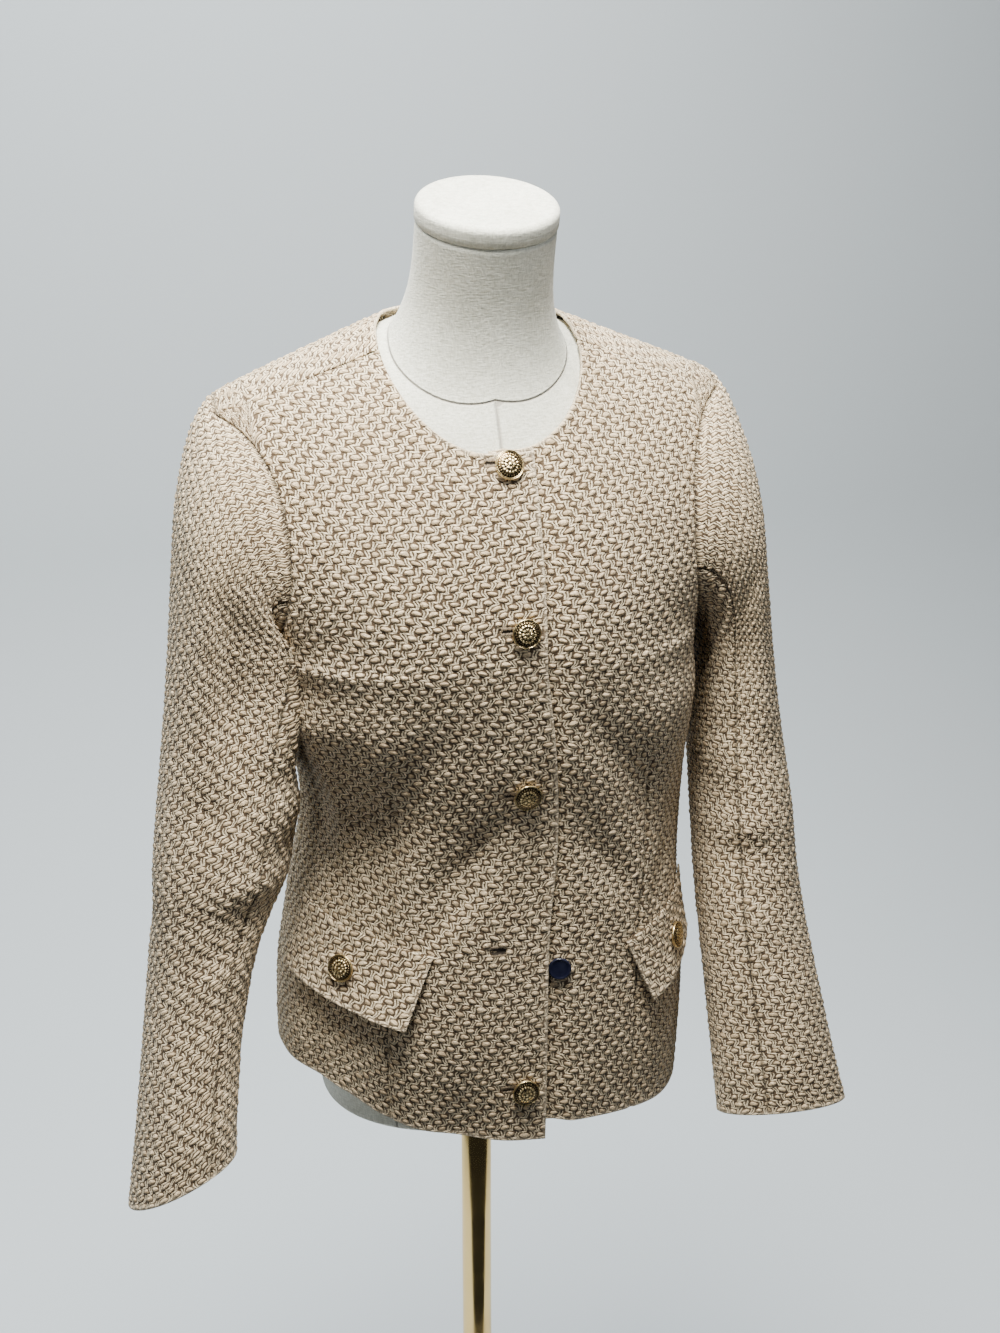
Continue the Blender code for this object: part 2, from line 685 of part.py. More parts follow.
# Dress form: rings up the body, then the shoulders, arm plates and neck
def form_torso():
    mesh_data = bmesh.new()
    made = {}

    def vert(point):
        key = tuple(round(value, 6) for value in point)
        if key not in made:
            made[key] = mesh_data.verts.new(point)
        return made[key]

    def face(points):
        corners = []
        for point in points:
            corner = vert(point)
            if corner not in corners:
                corners.append(corner)
        if len(corners) > 2:
            mesh_data.faces.new(corners)

    def skin(grid):
        for low, high in zip(grid, grid[1:]):
            for index in range(len(low) - 1):
                face((low[index], low[index + 1], high[index + 1], high[index]))

    def half(side, front_face):
        section = FORM[-1]
        rows = []
        for row in range(0, BODY_ROWS + 1, 2):
            z = TORSO_BOTTOM_Z + min(row / (BODY_ROWS - 1), 1) * (ARMPIT_Z - TORSO_BOTTOM_Z)
            line = []
            for column in range(0, COLUMNS + 1, 2):
                angle = column / COLUMNS * 90
                around = side * angle if front_face == FRONT else side * (180 - angle)
                line.append(body_point(around, z, FORM, False))
            rows.append(line)
        rows.pop()
        for places in yoke_grid(0.0, front_face, STAND)[::2]:
            rows.append([yoke_point(side * x, lift, front_face, STAND) for x, lift in places[::2]])
        return rows

    halves = {(side, way): half(side, way) for side in (-1, 1) for way in (FRONT, BACK)}
    for grid in halves.values():
        skin(grid)
    first_yoke = len(halves[(1, FRONT)]) - YOKE_ROWS // 2 - 1

    for side in (-1, 1):
        plate = []
        for row in range(first_yoke, len(halves[(1, FRONT)])):
            ahead = halves[(side, FRONT)][row][-1]
            behind = halves[(side, BACK)][row][-1]
            plate.append([ahead.lerp(behind, share / 4) for share in range(5)])
        skin(plate)

    neck_columns = NECK_COLUMNS // 2
    front_neck = [halves[(-1, FRONT)][-1][index] for index in range(neck_columns, 0, -1)]
    front_neck += [halves[(1, FRONT)][-1][index] for index in range(neck_columns + 1)]
    back_neck = [halves[(1, BACK)][-1][index] for index in range(neck_columns - 1, 0, -1)]
    back_neck += [halves[(-1, BACK)][-1][index] for index in range(neck_columns)]
    collar = front_neck + back_neck
    top = cap_ring(len(collar), -SEAM_GAP, 0.985)
    rings = [collar]
    for row in range(1, NECK_ROWS + 1):
        share = row / NECK_ROWS
        ring = []
        for low, high in zip(collar, top):
            straight = high + (low - high).project(CAP_AXIS) * (1 - share)
            sloping = high + (low - high) * (1 - share)
            ring.append(straight.lerp(sloping, (1 - share) ** 2.6))
        rings.append(ring)
    for low, high in zip(rings, rings[1:]):
        for index in range(len(low)):
            after = (index + 1) % len(low)
            face((low[index], low[after], high[after], high[index]))
    face(rings[-1])

    rim = halves[(-1, FRONT)][0][:0:-1] + halves[(1, FRONT)][0]
    rim += halves[(1, BACK)][0][-2::-1] + halves[(-1, BACK)][0][1:-1]
    low_rim = []
    for point in rim:
        inwards = Vector((point.x, point.y, 0)).normalized()
        low_rim.append(point - inwards * TORSO_EDGE - Vector((0, 0, TORSO_EDGE * 0.7)))
    for index in range(len(rim)):
        after = (index + 1) % len(rim)
        face((rim[index], rim[after], low_rim[after], low_rim[index]))
    face(low_rim)
    return new_object("form_torso", mesh_data, *LINEN)


CAP_AXIS = Vector((0, -math.sin(CAP_TILT), math.cos(CAP_TILT)))
CAP_AHEAD = Vector((0, -math.cos(CAP_TILT), -math.sin(CAP_TILT)))


def cap_ring(count, rise, share):
    """Ring of the neck's top, from the wearer's right round the front to the left and back."""
    ring = []
    for index in range(count):
        turn = 2 * math.pi * index / count
        across = Vector((-math.cos(turn) * CAP_HALF_WIDTH, 0, 0))
        ahead = CAP_AHEAD * (math.sin(turn) * CAP_HALF_DEPTH)
        ring.append(CAP_CENTRE + CAP_AXIS * rise + (across + ahead) * share)
    return ring


form_torso()

CAP_STEPS = 40
rounding = [(0.0, 0.97), (0.0016, 1.0), (CAP_THICK - CAP_EDGE, 1.0)]
for step in range(1, 5):
    turn = step / 4 * math.pi / 2
    rise = CAP_THICK - CAP_EDGE + CAP_EDGE * math.sin(turn)
    rounding.append((rise, 1 - CAP_EDGE / CAP_HALF_WIDTH * (1 - math.cos(turn))))
ring_solid("form_neck_cap", [cap_ring(CAP_STEPS, rise, share) for rise, share in rounding], LINEN)


# Stand
def turned(name, profile, steps, finish):
    rings = []
    for radius, z in profile:
        ring = []
        for step in range(steps):
            turn = 2 * math.pi * step / steps
            ring.append(Vector((radius * math.cos(turn), radius * math.sin(turn), z)))
        rings.append(ring)
    ring_solid(name, rings, finish)


pole_top = TORSO_BOTTOM_Z - TORSO_EDGE * 0.7 - SEAM_GAP
turned("form_pole", ((POLE_RADIUS, BASE_THICK + SEAM_GAP), (POLE_RADIUS, pole_top)), POLE_STEPS, BRASS)
base_profile = (
    (BASE_RADIUS, 0.0),
    (BASE_RADIUS, BASE_THICK - BASE_EDGE),
    (BASE_RADIUS - BASE_EDGE, BASE_THICK),
)
turned("form_base", base_profile, BASE_STEPS, BRASS)
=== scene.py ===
"""Collarless tweed jacket buttoned on a limbless dress form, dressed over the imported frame."""
import math
from collections import namedtuple

import bmesh
import bpy
import numpy as np
from mathutils import Matrix, Vector


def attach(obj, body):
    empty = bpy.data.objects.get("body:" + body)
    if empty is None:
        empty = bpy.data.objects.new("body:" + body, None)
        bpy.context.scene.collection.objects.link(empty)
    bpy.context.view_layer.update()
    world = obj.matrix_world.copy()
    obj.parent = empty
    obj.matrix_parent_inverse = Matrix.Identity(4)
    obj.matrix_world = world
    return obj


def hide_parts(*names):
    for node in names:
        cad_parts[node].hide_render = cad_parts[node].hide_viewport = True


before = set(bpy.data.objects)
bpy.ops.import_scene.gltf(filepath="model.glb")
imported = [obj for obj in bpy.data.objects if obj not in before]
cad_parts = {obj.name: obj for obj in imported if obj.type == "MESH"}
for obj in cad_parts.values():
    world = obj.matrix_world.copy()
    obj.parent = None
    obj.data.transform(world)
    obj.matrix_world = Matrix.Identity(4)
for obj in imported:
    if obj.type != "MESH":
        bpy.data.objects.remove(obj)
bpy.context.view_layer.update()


# Base of the stand
# A round steel plate, turned, brass plated and polished, with its upper edge rounded off.
# It lies on the floor and the pole screws into its middle.
BASE_RADIUS = 0.165
BASE_THICK = 0.012
BASE_EDGE = 0.003
BASE_ARRIS = 0.0012
BASE_MIDDLE = 0.02


def new_material(name, colour, roughness, metallic):
    material = bpy.data.materials.new(name)
    material.use_nodes = True
    shader = material.node_tree.nodes["Principled BSDF"]
    shader.inputs["Base Color"].default_value = (*colour, 1)
    shader.inputs["Roughness"].default_value = roughness
    shader.inputs["Metallic"].default_value = metallic
    return material, material.node_tree, shader


def joined(tree, kind, inputs, **settings):
    """A new node with its settings, and its inputs set to values or linked to sockets."""
    node = tree.nodes.new(kind)
    for name, value in settings.items():
        setattr(node, name, value)
    for name, value in inputs.items():
        if isinstance(value, bpy.types.NodeSocket):
            tree.links.new(value, node.inputs[name])
        else:
            node.inputs[name].default_value = value
    return node


def sum_of(tree, operation, first, second=0.0, third=0.0):
    values = {0: first, 1: second, 2: third}
    return joined(tree, "ShaderNodeMath", values, operation=operation).outputs[0]


def effect_group(name, inputs, outputs):
    """An empty shader node group with its sockets, for an effect that several finishes share."""
    tree = bpy.data.node_groups.new(name, "ShaderNodeTree")
    for label, kind in inputs:
        tree.interface.new_socket(label, in_out="INPUT", socket_type=kind)
    for label, kind in outputs:
        tree.interface.new_socket(label, in_out="OUTPUT", socket_type=kind)
    return tree, tree.nodes.new("NodeGroupInput").outputs, tree.nodes.new("NodeGroupOutput").inputs


def object_place(tree):
    return tree.nodes.new("ShaderNodeTexCoord").outputs["Object"]


def clouded(tree, spot, scale, detail):
    cloud = joined(tree, "ShaderNodeTexNoise", {"Vector": spot, "Scale": scale, "Detail": detail})
    return cloud.outputs["Fac"]


def ranged(tree, value, low, high, start=0.0, end=1.0):
    """A value moved from one range to another, and held within it."""
    return joined(tree, "ShaderNodeMapRange", {"Value": value, 1: low, 2: high, 3: start, 4: end}).outputs[0]


def toned(tree, share, first, second):
    """A colour between two others, each a socket or red, green and blue."""
    first, second = (end if isinstance(end, bpy.types.NodeSocket) else (*end, 1) for end in (first, second))
    return joined(tree, "ShaderNodeMix", {"Factor": share, 6: first, 7: second}, data_type="RGBA").outputs[2]


# Haze that hands and cloths leave on polished metal
haze, haze_in, haze_out = effect_group(
    "polish_haze",
    (("Scale", "NodeSocketFloat"), ("Bright", "NodeSocketFloat"), ("Dull", "NodeSocketFloat")),
    (("Roughness", "NodeSocketFloat"), ("Mask", "NodeSocketFloat")),
)
haze_cloud = clouded(haze, object_place(haze), haze_in["Scale"], 5.0)
haze_rough = ranged(haze, haze_cloud, 0.35, 0.7, haze_in["Bright"], haze_in["Dull"])
haze.links.new(haze_rough, haze_out["Roughness"])
haze.links.new(haze_cloud, haze_out["Mask"])


def hazed(tree, scale, bright, dull):
    amounts = {"Scale": scale, "Bright": bright, "Dull": dull}
    return joined(tree, "ShaderNodeGroup", amounts, node_tree=haze).outputs


def polished_brass(name, bright, dull, scale):
    material, tree, shader = new_material(name, (0.83, 0.58, 0.22), 0.15, 1.0)
    marks = hazed(tree, scale, bright, dull)
    tone = toned(tree, marks["Mask"], (0.88, 0.66, 0.30), (0.74, 0.49, 0.17))
    tree.links.new(tone, shader.inputs["Base Color"])
    tree.links.new(marks["Roughness"], shader.inputs["Roughness"])
    return material


def add_piece(name, points, faces, material):
    mesh = bpy.data.meshes.new(name)
    mesh.from_pydata(np.asarray(points).tolist(), [], faces)
    mesh.materials.append(material)
    mesh.shade_smooth()
    piece = bpy.data.objects.new(name, mesh)
    bpy.context.scene.collection.objects.link(piece)
    return piece


def ring_faces(rings, steps):
    """Quads between closed rings, with a fan on each end; the two middle points come last."""
    faces = []
    for ring in range(rings - 1):
        for step in range(steps):
            after = (step + 1) % steps
            low, high = ring * steps, (ring + 1) * steps
            faces.append((low + step, low + after, high + after, high + step))
    top = (rings - 1) * steps
    for step in range(steps):
        after = (step + 1) % steps
        faces.append((rings * steps, after, step))
        faces.append((rings * steps + 1, top + step, top + after))
    return faces


def turned_piece(name, profile, steps, material):
    turns = np.linspace(0, 2 * np.pi, steps, endpoint=False)
    points = []
    for radius, z in profile:
        points += [(radius * math.cos(turn), radius * math.sin(turn), z) for turn in turns]
    points += [(0, 0, profile[0][1]), (0, 0, profile[-1][1])]
    return add_piece(name, points, ring_faces(len(profile), steps), material)


def settle(piece, node):
    """Let a piece of the one body stand for its solid."""
    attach(piece, "root")
    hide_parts(node)


base_profile = [(BASE_MIDDLE, 0.0), (BASE_RADIUS - BASE_ARRIS, 0.0)]
base_profile += [(BASE_RADIUS - BASE_ARRIS / 4, BASE_ARRIS / 4), (BASE_RADIUS, BASE_ARRIS)]
for step in range(7):
    turn = step / 6 * math.pi / 2
    out = BASE_RADIUS - BASE_EDGE * (1 - math.cos(turn))
    base_profile.append((out, BASE_THICK - BASE_EDGE + BASE_EDGE * math.sin(turn)))
base_profile += [(BASE_RADIUS - 0.004, BASE_THICK), (0.09, BASE_THICK), (BASE_MIDDLE, BASE_THICK)]
base_plate = turned_piece("base_plate", base_profile, 128, polished_brass("plated_base", 0.16, 0.34, 9.0))
settle(base_plate, "form_base")


# Pole
# A brass tube of one inch, polished, that carries the form.
# It stands in the base and goes up into the form's flat underside.
POLE_RADIUS = 0.0127
POLE_EDGE = 0.0004
POLE_MIDDLE = 0.004
SEAT_GAP = 0.0003
TORSO_BOTTOM_Z = 0.703
TORSO_EDGE = 0.014
UNDERSIDE_DROP = TORSO_EDGE * 0.7
POLE_LOW = BASE_THICK + SEAT_GAP
POLE_HIGH = TORSO_BOTTOM_Z - UNDERSIDE_DROP - SEAT_GAP
pole_end = ((POLE_MIDDLE, 0.0), (POLE_RADIUS - POLE_EDGE, 0.0), (POLE_RADIUS, 1.5 * POLE_EDGE))
pole_profile = [(radius, POLE_LOW + rise) for radius, rise in pole_end]
pole_profile += [(POLE_RADIUS, POLE_LOW + share * (POLE_HIGH - POLE_LOW)) for share in (0.2, 0.4, 0.6, 0.8)]
pole_profile += [(radius, POLE_HIGH - rise) for radius, rise in pole_end[::-1]]
pole_tube = turned_piece("pole_tube", pole_profile, 64, polished_brass("tube_brass", 0.10, 0.26, 14.0))
settle(pole_tube, "form_pole")


# Torso of the dress form
# A padded shell under a tight off-white linen cover, with no limbs, a rounded underside and a short neck.
# The cover has a seam round the base of the neck, one down the middle of the front and shaped side panels.
ARMPIT_Z = 1.095
NECK_POINT_X = 0.0745
NECK_POINT_Z = 1.326
SHOULDER_TIP_X = 0.194
SHOULDER_TIP_Z = 1.278
RIDGE_Y = 0.015
SEAM_LIFT = 72.0
SHOULDER_SLOPE = (NECK_POINT_Z - SHOULDER_TIP_Z) / (SHOULDER_TIP_X - NECK_POINT_X)
SHOULDER_SPREAD = 0.021
FRONT = 1
BACK = -1
SEAM_AT = {FRONT: SEAM_LIFT, BACK: 180 - SEAM_LIFT}
NECK_COLUMNS = 8
COLUMNS = 14
FRONT_CROWN = 1.7
BACK_CROWN = 2.6
NAPE = 0.032

Section = namedtuple("Section", "z half_width front back square shift")
BODY = (
    Section(0.690, 0.166, 0.137, 0.114, 2.3, 0.000),
    Section(0.800, 0.168, 0.134, 0.114, 2.3, 0.002),
    Section(0.880, 0.159, 0.128, 0.104, 2.3, 0.006),
    Section(0.960, 0.153, 0.123, 0.094, 2.3, 0.014),
    Section(1.030, 0.158, 0.129, 0.100, 2.3, 0.009),
    Section(1.095, 0.170, 0.133, 0.108, 2.3, 0.000),
)
FORM = (
    Section(0.703, 0.130, 0.098, 0.088, 2.2, 0.0),
    Section(0.800, 0.138, 0.106, 0.094, 2.2, 0.0),
    Section(0.960, 0.117, 0.097, 0.076, 2.2, 0.0),
    Section(1.030, 0.132, 0.110, 0.085, 2.2, 0.0),
    Section(1.095, 0.156, 0.121, 0.095, 2.3, 0.0),
)
Armhole = namedtuple("Armhole", "share front back")
ARMHOLE = (
    Armhole(0.00, 0.170, 0.170),
    Armhole(0.15, 0.159, 0.163),
    Armhole(0.35, 0.153, 0.163),
    Armhole(0.60, 0.157, 0.172),
    Armhole(0.80, 0.171, 0.189),
    Armhole(1.00, 0.192, 0.192),
)
Yoke = namedtuple("Yoke", "sections tip_drop neck_drop neck_x front_lift back_lift armhole_in")
CLOTH = Yoke(BODY, 0.0, 0.0, NECK_POINT_X, 41.0, 66.0, 0.0)
STAND = Yoke(FORM, 0.0034, 0.0068, 0.066, 50.0, 76.0, 0.012)


def along(rows, column, at):
    """Smooth value of one column at places on a table's first column."""
    keys = np.array([row[0] for row in rows], float)
    values = np.array([getattr(row, column) for row in rows], float)
    last = len(keys) - 1
    low = np.maximum(np.arange(last + 1) - 1, 0)
    high = np.minimum(np.arange(last + 1) + 1, last)
    slopes = (values[high] - values[low]) / (keys[high] - keys[low])
    at = np.clip(at, keys[0], keys[-1])
    step = np.clip(np.searchsorted(keys, at) - 1, 0, last - 1)
    span = keys[step + 1] - keys[step]
    t = (at - keys[step]) / span
    start = values[step] * (2 * t**3 - 3 * t**2 + 1) + slopes[step] * span * (t**3 - 2 * t**2 + t)
    end = values[step + 1] * (3 * t**2 - 2 * t**3) + slopes[step + 1] * span * (t**3 - t**2)
    return start + end


def smooth(value):
    value = np.clip(value, 0.0, 1.0)
    return value * value * (3 - 2 * value)


def signed_power(value, power):
    return np.sign(value) * np.abs(value) ** power


def place(x, y, z):
    return np.stack(np.broadcast_arrays(x, y, z), -1)


def unit(vectors):
    return vectors / np.maximum(np.linalg.norm(vectors, axis=-1, keepdims=True), 1e-12)


def section_point(angle, z, sections):
    sine = np.sin(np.radians(angle))
    cosine = np.cos(np.radians(angle))
    depth = np.where(cosine > 0, along(sections, "front", z), along(sections, "back", z))
    power = 2 / along(sections, "square", z)
    x = along(sections, "shift", z) + along(sections, "half_width", z) * signed_power(sine, power)
    return place(x, -depth * signed_power(cosine, power), z)


def ridge_z(x, yoke):
    along_seam = (np.abs(x) - NECK_POINT_X) / (SHOULDER_TIP_X - NECK_POINT_X)
    neck_z = NECK_POINT_Z - yoke.neck_drop
    return neck_z + (SHOULDER_TIP_Z - yoke.tip_drop - neck_z) * along_seam


def yoke_point(x, lift, face, yoke):
    x, lift = np.broadcast_arrays(np.asarray(x, float), np.asarray(lift, float))
    over = lift > 90
    ahead = (face == FRONT) != over
    lift = np.where(over, 180 - lift, lift)
    sine = np.sin(np.radians(lift))
    cosine = np.maximum(np.cos(np.radians(lift)), 0.0)
    section = yoke.sections[-1]
    reach = section.half_width + (SHOULDER_TIP_X + SHOULDER_SPREAD - section.half_width) * sine
    flat = np.maximum(1 - (np.abs(x) / reach) ** section.square, 0.0) ** (1 / section.square)
    depth = np.where(ahead, -section.front, section.back)
    power = np.where(ahead, 2 / FRONT_CROWN, 2 / BACK_CROWN)
    y = RIDGE_Y + (depth * flat - RIDGE_Y) * cosine**power
    level_x = np.where(~ahead & (np.abs(x) < NAPE), (x**2 / NAPE + NAPE) / 2, x)
    z = ARMPIT_Z + (ridge_z(level_x, yoke) - ARMPIT_Z) * sine**power
    return place(x, y, z)


def yoke_places(edge_x, face, yoke, s, v):
    """Distance from the middle and lift of points of half a yoke, for shares across and up."""
    section = yoke.sections[-1]
    middle_lift = yoke.front_lift if face == FRONT else yoke.back_lift
    edge_angle = math.asin(float(signed_power(edge_x / section.half_width, section.square / 2)))
    edge_turn = math.asin(edge_x / yoke.neck_x)
    tip_x = ARMHOLE[-1].front - yoke.armhole_in
    s = np.asarray(s, float)[None, :]
    v = np.asarray(v, float)[:, None]

    def bottom(share):
        angle = edge_angle + share * (math.pi / 2 - edge_angle)
        return section.half_width * signed_power(np.sin(angle), 2 / section.square), 0.0 * share

    def top(share):
        share = np.asarray(share * COLUMNS, float)
        turn = edge_turn + np.minimum(share / NECK_COLUMNS, 1) * (math.pi / 2 - edge_turn)
        rise = (SEAM_AT[face] - middle_lift) * (1 - np.cos(turn))
        out = np.maximum(share - NECK_COLUMNS, 0) / (COLUMNS - NECK_COLUMNS)
        return yoke.neck_x * np.sin(turn) + out * (tip_x - yoke.neck_x), middle_lift + rise

    above_armpit = smooth(v * 3)
    narrower = BODY[-1].half_width - section.half_width
    inwards = yoke.armhole_in * above_armpit + narrower * (1 - above_armpit)
    side = (along(ARMHOLE, "front" if face == FRONT else "back", v) - inwards, SEAM_AT[face] * v)
    edge = (edge_x + 0.0 * v, v * middle_lift)
    found = []
    for axis in (0, 1):
        rows = (1 - v) * bottom(s)[axis] + v * top(s)[axis]
        columns = (1 - s) * edge[axis] + s * side[axis]
        corners = (1 - s) * ((1 - v) * bottom(0.0)[axis] + v * top(0.0)[axis])
        corners = corners + s * ((1 - v) * bottom(1.0)[axis] + v * top(1.0)[axis])
        found.append(rows + columns - corners)
    return found


# Neck of the form, with the tilt of its top
CAP_CENTRE = np.array((0.003, -0.030, 1.400))
CAP_HALF_WIDTH = 0.0515
CAP_HALF_DEPTH = 0.0495
CAP_TILT = math.radians(17)
CAP_AXIS = np.array((0, -math.sin(CAP_TILT), math.cos(CAP_TILT)))
CAP_AHEAD = np.array((0, -math.cos(CAP_TILT), -math.sin(CAP_TILT)))


def cap_ring(turns, rise, share):
    across = -np.cos(turns)[:, None] * np.array((CAP_HALF_WIDTH, 0, 0))
    ahead = np.sin(turns)[:, None] * CAP_AHEAD * CAP_HALF_DEPTH
    return CAP_CENTRE + CAP_AXIS * rise + (across + ahead) * share


# Linen, a fine plain weave: its relief and the seam grooves are in the finish, and painted shade darkens the
# grooves
linen, linen_tree, linen_shader = new_material("linen_cover", (0.80, 0.78, 0.72), 0.82, 0.0)
linen_shader.inputs["Sheen Weight"].default_value = 0.25
linen_shader.inputs["Sheen Roughness"].default_value = 0.5
linen_place = object_place(linen_tree)
linen_cloud = clouded(linen_tree, linen_place, 22.0, 6.0)
linen_yarns = []
for stretch in ((1.0, 1.0, 3.6), (3.6, 3.6, 1.0)):
    drawn = joined(linen_tree, "ShaderNodeMapping", {"Vector": linen_place, "Scale": stretch}).outputs[0]
    linen_yarns.append(clouded(linen_tree, drawn, 220.0, 3.0))
linen_relief = sum_of(linen_tree, "ADD", *linen_yarns)
linen_grain = ranged(linen_tree, linen_relief, 0.75, 1.25, 0.4, -0.4)
linen_spread = sum_of(linen_tree, "ADD", linen_cloud, linen_grain)
linen_tone = toned(linen_tree, linen_spread, (0.80, 0.795, 0.70), (0.52, 0.515, 0.43))
seam_near = joined(linen_tree, "ShaderNodeAttribute", {}, attribute_name="seam_distance").outputs["Fac"]
seam_line = ranged(linen_tree, seam_near, 0.0, 0.0016)
# Painted shade: the linen's colour darkens along the seam grooves
seam_groove_shade = toned(linen_tree, seam_line, (0.40, 0.37, 0.32), linen_tone)
linen_tree.links.new(seam_groove_shade, linen_shader.inputs["Base Color"])


def emboss(tree, shader, height, strength, distance):
    bump = joined(tree, "ShaderNodeBump", {"Height": height, "Strength": strength, "Distance": distance})
    tree.links.new(bump.outputs[0], shader.inputs["Normal"])


linen_height = sum_of(linen_tree, "MULTIPLY_ADD", linen_relief, 0.25, seam_line)
emboss(linen_tree, linen_shader, linen_height, 0.9, 0.0016)


def mark_seams(piece, distances):
    seams = piece.data.attributes.new("seam_distance", "FLOAT", "POINT")
    seams.data.foreach_set("value", np.asarray(distances, np.float32).ravel())


NO_SEAM = 0.02
FORM_ROUND = 112
PANEL_SEAM = 360 / FORM_ROUND * 12
form_angles = np.arange(FORM_ROUND) / FORM_ROUND * 360 - 90
form_heights = np.linspace(TORSO_BOTTOM_Z, ARMPIT_Z, 40)
form_rings = []
seam_rings = []
around = np.where(form_angles > 180, form_angles - 360, form_angles)
middle_far = np.minimum(np.abs(around), np.abs(np.abs(around) - 180))
panel_far = np.abs(np.abs(around) - PANEL_SEAM)
for step in range(8):
    turn = step / 7 * math.pi / 2
    rim = section_point(around, np.full(FORM_ROUND, TORSO_BOTTOM_Z), FORM)
    inwards = unit(rim * np.array((1, 1, 0)))
    drop = UNDERSIDE_DROP * (1 - math.sin(turn))
    form_rings.append(rim - inwards * TORSO_EDGE * (1 - math.sin(turn)) ** 2 - np.array((0, 0, drop)))
    seam_rings.append(np.minimum(middle_far, panel_far) * 0.0019)
for z in form_heights[1:]:
    form_rings.append(section_point(around, np.full(FORM_ROUND, z), FORM))
    seam_rings.append(np.minimum(middle_far, panel_far) * 0.0021)
torso_faces = ring_faces(len(form_rings), FORM_ROUND)[: (len(form_rings) - 1) * FORM_ROUND]
torso_points = list(np.concatenate(form_rings))
torso_seams = list(np.concatenate(seam_rings))
under_middle = np.array((0.0, 0.0, form_rings[0][0][2]))
torso_points.append(under_middle)
torso_seams.append(NO_SEAM)
torso_faces += [(len(torso_points) - 1, (step + 1) % FORM_ROUND, step) for step in range(FORM_ROUND)]


def add_grid(grid, distances, outwards):
    """Quads of an open grid joined to the torso, turned to face outwards."""
    first = len(torso_points)
    rows, columns = grid.shape[:2]
    torso_points.extend(grid.reshape(-1, 3))
    torso_seams.extend(np.broadcast_to(distances, (rows, columns)).ravel())
    across = grid[rows // 2, columns // 2 + 1] - grid[rows // 2, columns // 2]
    up = grid[rows // 2 + 1, columns // 2] - grid[rows // 2, columns // 2]
    turned = float(np.dot(np.cross(across, up), outwards)) < 0
    for row in range(rows - 1):
        for column in range(columns - 1):
            corner = first + row * columns + column
            quad = (corner, corner + 1, corner + columns + 1, corner + columns)
            torso_faces.append(quad[::-1] if turned else quad)


yoke_across = np.linspace(0, 1, FORM_ROUND // 4 + 1)
yoke_up = np.linspace(0, 1, 37)
armhole_lines = {}
for side in (-1, 1):
    for face in (FRONT, BACK):
        x, lift = yoke_places(0.0, face, STAND, yoke_across, yoke_up)
        grid = yoke_point(side * x, lift, face, STAND)
        top_far = np.linalg.norm(grid - grid[-1:], axis=-1) + (yoke_across > NECK_COLUMNS / COLUMNS) * NO_SEAM
        add_grid(grid, np.minimum(np.abs(x), top_far), np.array((0, -face, 0.0)))
        armhole_lines[(side, face)] = grid[:, -1]
for side in (-1, 1):
    share = np.linspace(0, 1, 13)[None, :, None]
    plate = armhole_lines[(side, FRONT)][:, None] * (1 - share) + armhole_lines[(side, BACK)][:, None] * share
    add_grid(plate, np.full((1, 1), NO_SEAM), np.array((side, 0, 0.0)))

neck_turns = np.linspace(0, 2 * np.pi, FORM_ROUND * NECK_COLUMNS // COLUMNS + 1)
half_turn = math.pi / 2
front_shares = 1 - neck_turns / half_turn
back_shares = (neck_turns - 3 * half_turn) / half_turn
neck_shares = np.abs(np.where(neck_turns <= np.pi, front_shares, back_shares))
collar = []
for turn, share in zip(neck_turns, neck_shares):
    face = FRONT if turn <= np.pi else BACK
    side = -1 if turn <= half_turn or turn >= 3 * half_turn else 1
    x, lift = yoke_places(0.0, face, STAND, [share * NECK_COLUMNS / COLUMNS], [1.0])
    collar.append(yoke_point(side * x, lift, face, STAND)[0, 0])
collar = np.array(collar)
neck_top = cap_ring(neck_turns, -SEAT_GAP, 0.985)
neck_rings = []
for share in np.linspace(0, 1, 25):
    draw = (1 - share) ** 2.6
    straight = neck_top + ((collar - neck_top) @ CAP_AXIS)[:, None] * (1 - share) * CAP_AXIS
    neck_rings.append(straight * (1 - draw) + (neck_top + (collar - neck_top) * (1 - share)) * draw)
neck_grid = np.array(neck_rings)
add_grid(neck_grid, np.linalg.norm(neck_grid - neck_grid[:1], axis=-1), np.array((1, 0, 0.0)))
lid = len(torso_points)
torso_points.append(neck_grid[-1, :-1].mean(0))
torso_seams.append(NO_SEAM)
lid_ring = [lid - len(neck_turns) + step for step in range(len(neck_turns))]
torso_faces += [(lid, low, high) for low, high in zip(lid_ring, lid_ring[1:])]


def close_seams(piece):
    """Merge the points that neighbouring patches share, and turn every face outwards."""
    shell = bmesh.new()
    shell.from_mesh(piece.data)
    bmesh.ops.remove_doubles(shell, verts=shell.verts, dist=0.00005)
    bmesh.ops.dissolve_degenerate(shell, edges=shell.edges, dist=0.00001)
    bmesh.ops.recalc_face_normals(shell, faces=shell.faces)
    shell.to_mesh(piece.data)
    shell.free()
    piece.data.shade_smooth()


torso_cover = add_piece("torso_cover", torso_points, torso_faces, linen)
mark_seams(torso_cover, torso_seams)
close_seams(torso_cover)
settle(torso_cover, "form_torso")


